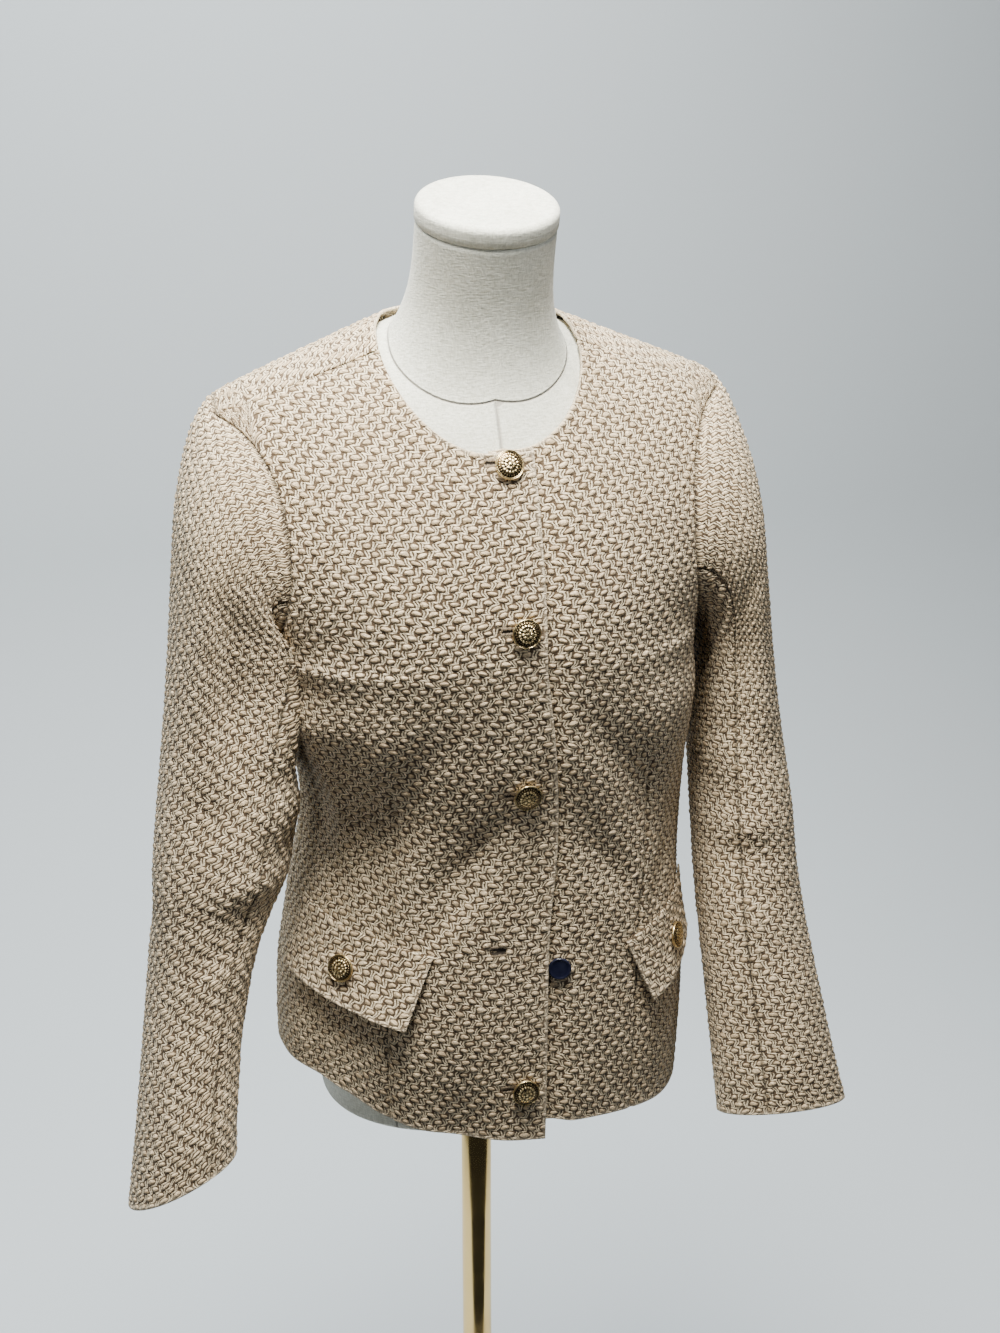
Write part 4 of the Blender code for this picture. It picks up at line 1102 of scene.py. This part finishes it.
SLEEVE_FOLDS = (
    SleeveFold(3.6, 75, -0.006, 0.9, 26, 22),
    SleeveFold(5.6, 40, -0.005, 0.4, 34, 10),
    SleeveFold(6.4, 60, -0.006, 0.35, 40, 8),
    SleeveFold(6.0, 150, 0.004, 0.8, 40, 0),
    SleeveFold(7.6, 95, -0.003, 0.5, 40, -10),
    SleeveFold(4.2, 250, -0.005, 0.7, 34, -15),
)

# Lesser creases of the arm
SLEEVE_CREASES = (
    SleeveFold(3.2, 110, 0.0030, 0.7, 20, 10),
    SleeveFold(2.9, 95, -0.0025, 0.35, 22, 26),
    SleeveFold(4.7, 62, -0.0030, 0.30, 26, 20),
    SleeveFold(5.3, 105, -0.0025, 0.28, 30, 16),
    SleeveFold(6.0, 78, 0.0025, 0.22, 34, 10),
    SleeveFold(6.9, 84, -0.0025, 0.22, 30, 8),
    SleeveFold(6.5, 200, -0.0025, 0.30, 34, -10),
    SleeveFold(8.5, 70, -0.0018, 0.40, 30, -8),
)

# The front of the right sleeve falls in towards the body above the elbow, with a trough beside that ridge
RIGHT_TROUGH = (SleeveFold(4.0, 96, -0.0110, 1.1, 17, 10),)
RIGHT_RIDGE = SleeveFold(2.9, 50, 0.0380, 1.25, 29, 0)
ARM_SEAMS = 12
FRONT_SEAM = 3
BACK_SEAM = 21
HEAD_LEVELS = 3
HEAD_BLEND = 1.25
CUFF_TIP = 0.36
CUFF_FROM = 6
SLEEVE_LENGTH = 0.58
UPPER_WIDTH = 0.26
UNDER_WIDTH = 0.10
SLEEVE_PITCH = 0.0016
TURN_STEP = 0.08
LEVEL_STEP = 0.05


def sleeve_points(guides, side, level, index):
    ahead_side = index <= ARM_SEAMS
    share = np.where(ahead_side, index / ARM_SEAMS, 2 - index / ARM_SEAMS)
    fronts = yoke_point(side * along(ARMHOLE, "front", share), SEAM_AT[FRONT] * share, FRONT, CLOTH)
    backs = yoke_point(side * along(ARMHOLE, "back", share), SEAM_AT[BACK] * share, BACK, CLOTH)
    start = np.where(ahead_side[..., None], fronts, backs)
    first = guides[0]
    ahead = (first.middle_y - start[..., 1]) / first.half_depth
    below = (first.outer_z + first.inner_z - 2 * start[..., 2]) / (first.outer_z - first.inner_z)
    turn = np.mod(np.arctan2(ahead, below), 2 * np.pi)
    fold = 0.0
    creases = SLEEVE_FOLDS + SLEEVE_CREASES
    if side < 0:
        creases = creases + RIGHT_TROUGH
    for crease in creases:
        away = np.mod(np.degrees(turn) - crease.turn + 180, 360) - 180
        rise = (level - crease.level - away / 360 * crease.lean / 10) / crease.half_level
        fold = fold + crease.depth * np.exp(-(rise**2) - (away / crease.half_turn) ** 2)
    middle_y = along(guides, "middle_y", level)
    outer = place(side * along(guides, "outer_x", level), middle_y, along(guides, "outer_z", level))
    inner = place(side * along(guides, "inner_x", level), middle_y, along(guides, "inner_z", level))
    reach = (outer - inner) / 2
    width = 1 + fold / np.linalg.norm(reach, axis=-1)
    depth = along(guides, "half_depth", level) + fold
    oval = (outer + inner) / 2 - reach * (np.cos(turn) * width)[..., None]
    tip = CUFF_TIP * smooth((level - CUFF_FROM) / (guides[-1].level - CUFF_FROM))
    oval = oval - place(0.0 * turn, depth * np.sin(turn), -tip * depth * np.sin(turn))
    if side < 0:
        away = np.mod(np.degrees(turn) - RIGHT_RIDGE.turn + 180, 360) - 180
        rise = (level - RIGHT_RIDGE.level) / RIGHT_RIDGE.half_level
        inwards = RIGHT_RIDGE.depth * np.exp(-(rise**2) - (away / RIGHT_RIDGE.half_turn) ** 2)
        oval = oval + place(inwards, 0.0 * turn, 0.0 * turn)
    ease = smooth(level / HEAD_LEVELS)[..., None]
    return start * (1 - ease) + oval * ease


def sleeve_piece(name, side, guides, first, last, width):
    last_level = guides[-1].level
    levels = (last_level * spaced(SLEEVE_LENGTH, SLEEVE_PITCH))[:, None]
    index = (first + (last - first) * spaced(width, SLEEVE_PITCH))[None, :]
    level, index = np.broadcast_arrays(levels, index)
    index = np.mod(index, 2 * ARM_SEAMS)
    points = sleeve_points(guides, side, level, index)
    after = sleeve_points(guides, side, level, np.mod(index + TURN_STEP, 2 * ARM_SEAMS))
    around = after - sleeve_points(guides, side, level, np.mod(index - TURN_STEP, 2 * ARM_SEAMS))
    lower = sleeve_points(guides, side, np.minimum(level + LEVEL_STEP, last_level), index)
    higher = sleeve_points(guides, side, np.maximum(level - LEVEL_STEP, 0), index)
    normals = unit(np.cross(lower - higher, around) * side)
    share = np.where(index <= ARM_SEAMS, index / ARM_SEAMS, 2 - index / ARM_SEAMS)
    ahead = (index <= ARM_SEAMS)[..., None]
    seam_way = np.where(ahead, armhole_normal(side, share, FRONT), armhole_normal(side, share, BACK))
    blend = np.clip(level / HEAD_BLEND, 0, 1)[..., None]
    normals = unit(seam_way * (1 - blend) + normals * blend)
    across = run_of(points, 1)
    across = across - across[:, -1:] / 2
    down = run_of(points, 0)
    cut = np.stack([across, down[-1:] - down], -1)
    borders = (("start", SEAM, 1.0), ("end", SEAM, 1.0), ("low", SEAM, 1.0), ("top", TURNED_EDGE, 1.0))
    return cloth_piece(name, points, normals, normals, cut, borders)


for side, word, guides in ((-1, "right", SLEEVE_RIGHT), (1, "left", SLEEVE_LEFT)):
    upper = sleeve_piece(f"{word}_sleeve_upper", side, guides, FRONT_SEAM, BACK_SEAM, UPPER_WIDTH)
    dress(upper, f"sleeve_{word}_upper")
    behind = BACK_SEAM - 2 * ARM_SEAMS
    under = sleeve_piece(f"{word}_sleeve_under", side, guides, behind, FRONT_SEAM, UNDER_WIDTH)
    dress(under, f"sleeve_{word}_under")


# Pocket flaps
# Each is a strip of tweed sewn into the front along its slanting top edge, with its other edges turned in.
# It hangs over the pocket and stands a little off the front at its lower edge.
Flap = namedtuple("Flap", "name side inner outer inner_z outer_z height slant lift flat area")
FLAPS = (
    Flap("right", -1, 22, 76, 0.873, 0.897, 0.055, 6, 0.0060, (0.15, 0.058), 0.0078),
    Flap("left", 1, 29, 73, 0.862, 0.886, 0.054, 8, 0.0035, (0.12, 0.057), 0.0060),
)
FLAP_GRID = (0.15, 0.056)
FLAP_PITCH = 0.0013
CORNER_LIFT = 0.003


def flap_points(flap, across, down):
    inner = flap.inner + flap.slant * down
    angle = flap.side * (inner + across * (flap.outer - inner))
    z = flap.inner_z + across * (flap.outer_z - flap.inner_z) - down * flap.height
    normals = body_normal(angle, z)
    lift = CLEAR + WALL + flap.lift * down**2 + CORNER_LIFT * (1 - across) ** 4 * down
    return body_point(angle, z) + normals * np.asarray(lift)[..., None], normals


for flap in FLAPS:
    across, down = np.meshgrid(*(spaced(length, FLAP_PITCH) for length in FLAP_GRID))
    points, normals = flap_points(flap, across, down)
    cut = np.stack([run_of(points, 1), -down * flap.height], -1)
    borders = [(edge, TURNED_EDGE, 0.5) for edge in ("start", "end", "top")] + [("low", SEAM, 0.5)]
    flap_cloth = cloth_piece(f"{flap.name}_flap", points, normals, normals, cut, borders)
    dress(flap_cloth, f"flap_{flap.name}")


# Buttonholes
# Short slits cut across the edge of the right front, bound with close stitches in a darker thread.
# A fastened button covers the inner end of its hole, and the fourth hole is empty.
SLIT_STEPS = 13
SLIT_EDGE = 0.0008
SLIT_DEPTH = 0.0020
STITCH_PITCH = 0.0009
STITCH_SINK = 0.0010
STITCH_ASIDE = 0.0007


def speckled(name, roughness, scale, detail, first, second):
    """A dull finish with a fine speckle of two tones."""
    material, tree, shader = new_material(name, second, roughness, 0.0)
    speckle = clouded(tree, object_place(tree), scale, detail)
    tree.links.new(toned(tree, speckle, first, second), shader.inputs["Base Color"])
    return material


hole_dark = speckled("hole_shadow", 0.95, 900.0, 3.0, (0.010, 0.008, 0.006), (0.075, 0.055, 0.038))
slit_points = []
slit_faces = []
for hole in HOLES:
    first = len(slit_points)
    spots, ways = hole_line(hole, SLIT_STEPS)
    open_half = hole.open * np.sqrt(np.clip(1 - np.linspace(-1, 1, SLIT_STEPS) ** 2, 0.02, 1))
    for spot, way, half in zip(spots, ways, open_half):
        upwards = unit(np.cross(way, spots[-1] - spots[0])) * half
        edge_spot = spot - way * SLIT_EDGE
        slit_points += [edge_spot + upwards, spot - way * SLIT_DEPTH, edge_spot - upwards]
    for step in range(SLIT_STEPS - 1):
        for edge in (0, 1):
            low = first + 3 * step + edge
            slit_faces.append((low, low + 1, low + 4, low + 3))
slits = add_piece("buttonhole_slits", slit_points, slit_faces, hole_dark)
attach(slits, "root")

# The stitches: one for each point, laid along one direction and facing another
thread = speckled("hole_thread", 0.8, 1400.0, 2.0, (0.17, 0.125, 0.08), (0.46, 0.36, 0.25))
stitch = bpy.data.node_groups.new("bound_stitches", "GeometryNodeTree")
stitch.interface.new_socket("Geometry", in_out="OUTPUT", socket_type="NodeSocketGeometry")
stitch_sockets = {}
stitch_inputs = (
    ("Geometry", "NodeSocketGeometry"),
    ("Length", "NodeSocketFloat"),
    ("Thickness", "NodeSocketFloat"),
    ("Seed", "NodeSocketInt"),
    ("Thread", "NodeSocketMaterial"),
)
for label, kind in stitch_inputs:
    stitch_sockets[label] = stitch.interface.new_socket(label, in_out="INPUT", socket_type=kind).identifier
stitch_in = stitch.nodes.new("NodeGroupInput").outputs
stitch_ball = joined(stitch, "GeometryNodeMeshUVSphere", {"Segments": 8, "Rings": 6, "Radius": 0.5})
stitch_girth = stitch_in["Thickness"]
stitch_sides = {0: stitch_in["Length"], 1: stitch_girth, 2: stitch_girth}
stitch_size = joined(stitch, "ShaderNodeCombineXYZ", stitch_sides)
stitch_shape = joined(
    stitch,
    "GeometryNodeTransform",
    {"Geometry": stitch_ball.outputs["Mesh"], "Scale": stitch_size.outputs[0]},
)
stitch_along = joined(stitch, "GeometryNodeInputNamedAttribute", {"Name": "along"}, data_type="FLOAT_VECTOR")
stitch_out = joined(stitch, "GeometryNodeInputNamedAttribute", {"Name": "out"}, data_type="FLOAT_VECTOR")
stitch_turn = joined(
    stitch,
    "FunctionNodeAxesToRotation",
    {"Primary Axis": stitch_out.outputs[0], "Secondary Axis": stitch_along.outputs[0]},
    primary_axis="Z",
    secondary_axis="X",
)
stitch_vary = joined(
    stitch,
    "FunctionNodeRandomValue",
    {2: 0.8, 3: 1.2, "Seed": stitch_in["Seed"]},
    data_type="FLOAT",
)
stitch_laid = joined(
    stitch,
    "GeometryNodeInstanceOnPoints",
    {
        "Points": stitch_in["Geometry"],
        "Instance": stitch_shape.outputs[0],
        "Rotation": stitch_turn.outputs[0],
        "Scale": stitch_vary.outputs[1],
    },
)
stitch_real = joined(stitch, "GeometryNodeRealizeInstances", {0: stitch_laid.outputs[0]})
stitch_done = joined(
    stitch, "GeometryNodeSetMaterial", {"Geometry": stitch_real.outputs[0], "Material": stitch_in["Thread"]}
)
stitch.links.new(stitch_done.outputs[0], stitch.nodes.new("NodeGroupOutput").inputs[0])


def stitched(name, points, along_ways, out_ways, length, thickness, seed):
    """A piece of loose stitches at the points, as a plain mesh."""
    mesh = bpy.data.meshes.new(name)
    mesh.from_pydata(np.asarray(points).tolist(), [], [])
    for label, ways in (("along", along_ways), ("out", out_ways)):
        ways = np.asarray(ways, np.float32)
        mesh.attributes.new(label, "FLOAT_VECTOR", "POINT").data.foreach_set("vector", ways.ravel())
    piece = bpy.data.objects.new(name, mesh)
    bpy.context.scene.collection.objects.link(piece)
    laid = piece.modifiers.new("stitches", "NODES")
    laid.node_group = stitch
    laid[stitch_sockets["Length"]] = length
    laid[stitch_sockets["Thickness"]] = thickness
    laid[stitch_sockets["Seed"]] = seed
    laid[stitch_sockets["Thread"]] = thread
    whole = piece.evaluated_get(bpy.context.evaluated_depsgraph_get())
    done = bpy.data.meshes.new_from_object(whole)
    piece.modifiers.clear()
    piece.data = done
    done.shade_smooth()
    return piece


stitch_spots = []
stitch_ways = []
stitch_normals = []
for hole in HOLES:
    count = round((hole.inner_x - hole.outer_x) / STITCH_PITCH)
    spots, ways = hole_line(hole, count)
    for spot, way in zip(spots, ways):
        upwards = unit(np.cross(way, spots[-1] - spots[0]))
        for side in (-1, 1):
            stitch_spots.append(spot - way * STITCH_SINK + upwards * side * (hole.open + STITCH_ASIDE))
            stitch_ways.append(upwards * side - way * 0.25)
            stitch_normals.append(way)
bound_edges = stitched("buttonhole_stitches", stitch_spots, stitch_ways, stitch_normals, 0.0026, 0.0009, 7)
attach(bound_edges, "root")


# Gilt buttons
# Cast metal domes with a double rim and a plain rosette in low relief, gilt, with dark recesses.
# Each is sewn on by a shank: four to the left front, through holes in the right one, and one to each flap.
BUTTON_RADIUS = 0.0107
BUTTON_THICK = 0.0046
BUTTON_SEAT = 0.0006
FLAP_BUTTON_SHARE = 0.52
BUTTON_STEPS = 112
DOME_SHARE = 0.84
ROSETTE_RISE = 0.16
FrontButton = namedtuple("FrontButton", "number x z")
FRONT_BUTTONS = (
    FrontButton(1, 0.001, 1.240),
    FrontButton(2, 0.005, 1.126),
    FrontButton(3, 0.008, 0.998),
    FrontButton(5, 0.005, 0.754),
)
gilt, gilt_tree, gilt_shader = new_material("rubbed_gilt", (0.80, 0.60, 0.28), 0.3, 1.0)
gilt_height = joined(gilt_tree, "ShaderNodeAttribute", {}, attribute_name="rubbed")
gilt_rub = ranged(gilt_tree, gilt_height.outputs["Fac"], 0.15, 0.6)
gilt_tone = toned(gilt_tree, gilt_rub, (0.10, 0.062, 0.030), (0.90, 0.69, 0.36))
gilt_tree.links.new(gilt_tone, gilt_shader.inputs["Base Color"])
gilt_tree.links.new(hazed(gilt_tree, 420.0, 0.22, 0.42)["Roughness"], gilt_shader.inputs["Roughness"])


def rosette(share, turn):
    """Relief of the button's face, from 0 to 1: a boss, two rings of petals and a ring of beads."""
    boss = np.exp(-((share / 0.11) ** 2))
    inner = np.abs(np.cos(4 * turn)) ** 1.4 * np.exp(-(((share - 0.29) / 0.11) ** 2))
    vein = 1 - 0.55 * np.exp(-((np.sin(4 * turn) / 0.2) ** 2))
    outer = np.abs(np.sin(8 * turn)) ** 1.2 * np.exp(-(((share - 0.54) / 0.08) ** 2))
    beads = np.clip(np.cos(28 * turn), 0, 1) * np.exp(-(((share - 0.74) / 0.04) ** 2))
    return np.maximum(np.maximum(boss, inner * vein), np.maximum(outer, beads))


def spokes_round(normal, steps):
    """Directions out from a button's middle, all round its face."""
    across = unit(np.cross(np.array((0, 0, 1.0)), normal))
    turns = np.linspace(0, 2 * np.pi, steps, endpoint=False)
    spokes = np.cos(turns)[:, None] * across + np.sin(turns)[:, None] * np.cross(normal, across)
    return turns, spokes


def gilt_button(name, node, seat, normal):
    turns, spokes = spokes_round(normal, BUTTON_STEPS)
    profile = [(0.80, 0.0), (0.94, 0.05), (0.985, 0.15), (1.0, 0.27), (0.995, 0.40), (0.975, 0.48)]
    profile += [(0.95, 0.48), (0.93, 0.42), (0.915, 0.38), (0.90, 0.43), (0.882, 0.44), (0.865, 0.39)]
    for share in np.linspace(DOME_SHARE, 0.03, 28):
        profile.append((share, 0.38 + 0.46 * (1 - (share / 0.86) ** 2)))
    points = []
    rubbed = []
    for share, rise in profile:
        on_dome = share <= DOME_SHARE
        relief = rosette(share, turns) * on_dome
        height = rise + ROSETTE_RISE * relief
        points.append(seat + normal * (height * BUTTON_THICK)[:, None] + spokes * share * BUTTON_RADIUS)
        rim = 0.15 if 0.905 < share < 0.935 or share < 0.87 else 0.9
        rubbed.append(0.12 + 0.9 * relief if on_dome else np.full(BUTTON_STEPS, rim))
    points = np.concatenate(points + [[seat], [seat + normal * BUTTON_THICK]])
    button = add_piece(name, points, ring_faces(len(profile), BUTTON_STEPS), gilt)
    worn = button.data.attributes.new("rubbed", "FLOAT", "POINT")
    worn.data.foreach_set("value", np.concatenate(rubbed + [[0.2], [1.0]]).astype(np.float32))
    settle(button, node)


for button in FRONT_BUTTONS:
    seat, normal = front_place(button.x, button.z)
    seat = seat + normal * BUTTON_SEAT
    gilt_button(f"front_button_{button.number}", f"button_front_{button.number}", seat, normal)
for flap in FLAPS:
    middle = flap_points(flap, np.array(0.5), np.array(FLAP_BUTTON_SHARE))[0]
    right, left = (flap_points(flap, np.array(at), np.array(FLAP_BUTTON_SHARE))[0] for at in (0.4, 0.6))
    high, low = (flap_points(flap, np.array(0.5), np.array(FLAP_BUTTON_SHARE + at))[0] for at in (-0.1, 0.1))
    normal = unit(np.cross(low - high, left - right) * flap.side)
    gilt_button(f"{flap.name}_flap_button", f"button_flap_{flap.name}", middle + normal * BUTTON_SEAT, normal)


# Unfastened button
# A flat dark navy disc with a raised rim, sewn on the left front beside the edge of the right one.
# Its buttonhole in the right front is empty.
DARK_RADIUS = 0.0088
DARK_THICK = 0.0024
DARK_Z = 0.853
DARK_STEPS = 72
DARK_REACH = 0.006


def under_place(x, z):
    spot, normal = front_place(x, z)
    return spot - normal * under_step(x)


edge_angle = math.degrees(math.asin(((CLOSING_X + LAP) / BODY[-1].half_width) ** (BODY[-1].square / 2)))
dark_x = float(body_point(np.array(edge_angle), np.array(DARK_Z))[0]) + DARK_RADIUS + 2 * CLEAR
across = under_place(dark_x + DARK_REACH, DARK_Z) - under_place(dark_x - DARK_REACH, DARK_Z)
up = under_place(dark_x, DARK_Z + DARK_REACH) - under_place(dark_x, DARK_Z - DARK_REACH)
dark_normal = unit(np.cross(across, up))
dark_seat = under_place(dark_x, DARK_Z) + dark_normal * BUTTON_SEAT
navy, navy_tree, navy_shader = new_material("navy_horn", (0.012, 0.014, 0.04), 0.4, 0.0)
navy_shader.inputs["Coat Weight"].default_value = 0.25
navy_marks = hazed(navy_tree, 260.0, 0.3, 0.55)
navy_tone = toned(navy_tree, navy_marks["Mask"], (0.004, 0.005, 0.018), (0.009, 0.011, 0.034))
navy_tree.links.new(navy_tone, navy_shader.inputs["Base Color"])
navy_tree.links.new(navy_marks["Roughness"], navy_shader.inputs["Roughness"])
dark_profile = [(0.6, 0.0), (0.90, 0.0), (0.97, 0.12), (1.0, 0.30), (1.0, 0.70), (0.97, 0.90), (0.91, 1.0)]
dark_profile += [(0.84, 0.97), (0.78, 0.84), (0.70, 0.80), (0.35, 0.82)]
dark_spokes = spokes_round(dark_normal, DARK_STEPS)[1]
dark_points = []
for share, rise in dark_profile:
    dark_points.append(dark_seat + dark_normal * rise * DARK_THICK + dark_spokes * share * DARK_RADIUS)
dark_points.append([dark_seat, dark_seat + dark_normal * DARK_THICK * 0.83])
dark_faces = ring_faces(len(dark_profile), DARK_STEPS)
dark_button = add_piece("dark_button", np.concatenate(dark_points), dark_faces, navy)
settle(dark_button, "button_front_4")


# Floor and backdrop
# A plain pale sweep of paper: flat under the stand, and curving up behind it.
# It is far wider than the stand, so that no edge of it shows.
PAPER_HALF = 5.0
PAPER_START_Y = -0.42
PAPER_BEND_Y = 0.9
PAPER_BEND = 0.7
PAPER_TOP_Z = 4.0
BEND_STEPS = 12
FLOOR_FRONT_Y = -4.0
paper, paper_tree, paper_shader = new_material("pale_paper", (0.655, 0.70, 0.735), 0.9, 0.0)
sweep = [(PAPER_START_Y, 0.0), (PAPER_BEND_Y, 0.0)]
for step in range(1, BEND_STEPS + 1):
    turn = step / BEND_STEPS * math.pi / 2
    sweep.append((PAPER_BEND_Y + PAPER_BEND * math.sin(turn), PAPER_BEND - PAPER_BEND * math.cos(turn)))
sweep.append((PAPER_BEND_Y + PAPER_BEND, PAPER_TOP_Z))
sweep_points = [(x, y, z) for y, z in sweep for x in (-PAPER_HALF, PAPER_HALF)]
sweep_faces = [(2 * k, 2 * k + 1, 2 * k + 3, 2 * k + 2) for k in range(len(sweep) - 1)]

# Seen from behind, the paper is clear, so that the back of the jacket can be looked at,
# and far from the stand it fades into the pale air
paper_sides = paper_tree.nodes.new("ShaderNodeNewGeometry").outputs["Backfacing"]
paper_clear = paper_tree.nodes.new("ShaderNodeBsdfTransparent")
paper_place = joined(paper_tree, "ShaderNodeSeparateXYZ", {0: object_place(paper_tree)}).outputs
paper_aside = sum_of(paper_tree, "ABSOLUTE", paper_place["X"])


def fading(value, near, far):
    """How far the paper has faded, from a near place to a far one."""
    places = {"Value": value, 1: near, 2: far}
    return joined(paper_tree, "ShaderNodeMapRange", places, interpolation_type="SMOOTHSTEP").outputs[0]


paper_far = sum_of(paper_tree, "MAXIMUM", fading(paper_aside, 1.3, 2.4), fading(paper_place["Y"], -0.7, -1.8))
paper_gone = sum_of(paper_tree, "MAXIMUM", paper_sides, paper_far)
paper_mix = joined(
    paper_tree,
    "ShaderNodeMixShader",
    {0: paper_gone, 1: paper_shader.outputs[0], 2: paper_clear.outputs[0]},
)
paper_tree.links.new(paper_mix.outputs[0], paper_tree.nodes["Material Output"].inputs["Surface"])
backdrop = add_piece("backdrop", sweep_points, sweep_faces, paper)

# The floor goes on in front of the stand, where the pole does not mirror it
front_points = [(x, FLOOR_FRONT_Y, 0.0) for x in (-PAPER_HALF, PAPER_HALF)]
front_points += [(x, PAPER_START_Y, 0.0) for x in (PAPER_HALF, -PAPER_HALF)]
front_floor = add_piece("front_floor", front_points, [(0, 1, 2, 3)], paper)
front_floor.visible_glossy = False
front_floor.visible_diffuse = False


# Studio light
# A warm soft lamp overhead, a little in front, gives the shading; two weak cool ones fill the sides.
# One behind lights the back, one washes the paper, and pale air shows past the paper's ends.
def soft_light(name, spot, aim, size, watts, colour):
    light = bpy.data.lights.new(name, "AREA")
    light.size = size
    light.energy = watts
    light.color = colour
    lamp = bpy.data.objects.new(name, light)
    lamp.location = spot
    lamp.rotation_euler = (Vector(aim) - Vector(spot)).to_track_quat("-Z", "Y").to_euler()
    lamp.visible_camera = False
    bpy.context.scene.collection.objects.link(lamp)


soft_light("overhead", (-0.10, -0.29, 2.14), (0.0, -0.05, 1.1), 0.42, 51, (1.0, 0.985, 0.90))
soft_light("left_fill", (-0.8, -1.1, 1.75), (0.0, 0.0, 1.0), 0.2, 3.5, (0.93, 0.97, 1.0))
soft_light("right_fill", (1.0, -0.6, 2.0), (0.0, 0.0, 1.0), 0.3, 5, (0.93, 0.97, 1.0))
soft_light("back_fill", (0.5, 1.1, 2.5), (0.0, 0.05, 1.0), 0.7, 16, (1.0, 0.985, 0.955))
soft_light("wall_wash", (-0.6, 0.8, 3.2), (-0.4, 1.6, 1.2), 1.6, 84, (0.90, 0.965, 1.0))
world = bpy.data.worlds.new("pale_air")
world.use_nodes = True
air = world.node_tree.nodes["Background"]
air.inputs["Color"].default_value = (0.57, 0.62, 0.66, 1)
seen_air = world.node_tree.nodes.new("ShaderNodeLightPath").outputs["Is Camera Ray"]
air_strength = ranged(world.node_tree, seen_air, 0.0, 1.0, 0.045, 1.25)
world.node_tree.links.new(air_strength, air.inputs["Strength"])
bpy.context.scene.world = world


# Camera
# It stands above the chest, a little to the wearer's right, and looks down, as in the photograph.
# Its long side is upright, and the focal length is worked out in rows of that picture.
FOCAL_ROWS = 1900
PICTURE_ROWS = 1333
SENSOR_HEIGHT = 36
CAMERA_SPOT = Vector((-0.3441, -1.3503, 1.5629))
CAMERA_TURN = math.radians(-15.134)
CAMERA_DIP = math.radians(20.0)
level_ahead = Vector((-math.sin(CAMERA_TURN), math.cos(CAMERA_TURN), 0))
ahead = level_ahead * math.cos(CAMERA_DIP) - Vector((0, 0, math.sin(CAMERA_DIP)))
rightwards = Vector((math.cos(CAMERA_TURN), math.sin(CAMERA_TURN), 0))
upwards = rightwards.cross(ahead)
lens = bpy.data.cameras.new("camera")
lens.sensor_fit = "VERTICAL"
lens.sensor_height = SENSOR_HEIGHT
lens.lens = FOCAL_ROWS / PICTURE_ROWS * SENSOR_HEIGHT
lens.clip_start = 0.05
camera = bpy.data.objects.new("camera", lens)
camera.matrix_world = Matrix((
    (rightwards.x, upwards.x, -ahead.x, CAMERA_SPOT.x),
    (rightwards.y, upwards.y, -ahead.y, CAMERA_SPOT.y),
    (rightwards.z, upwards.z, -ahead.z, CAMERA_SPOT.z),
    (0, 0, 0, 1),
))
bpy.context.scene.collection.objects.link(camera)
bpy.context.scene.camera = camera
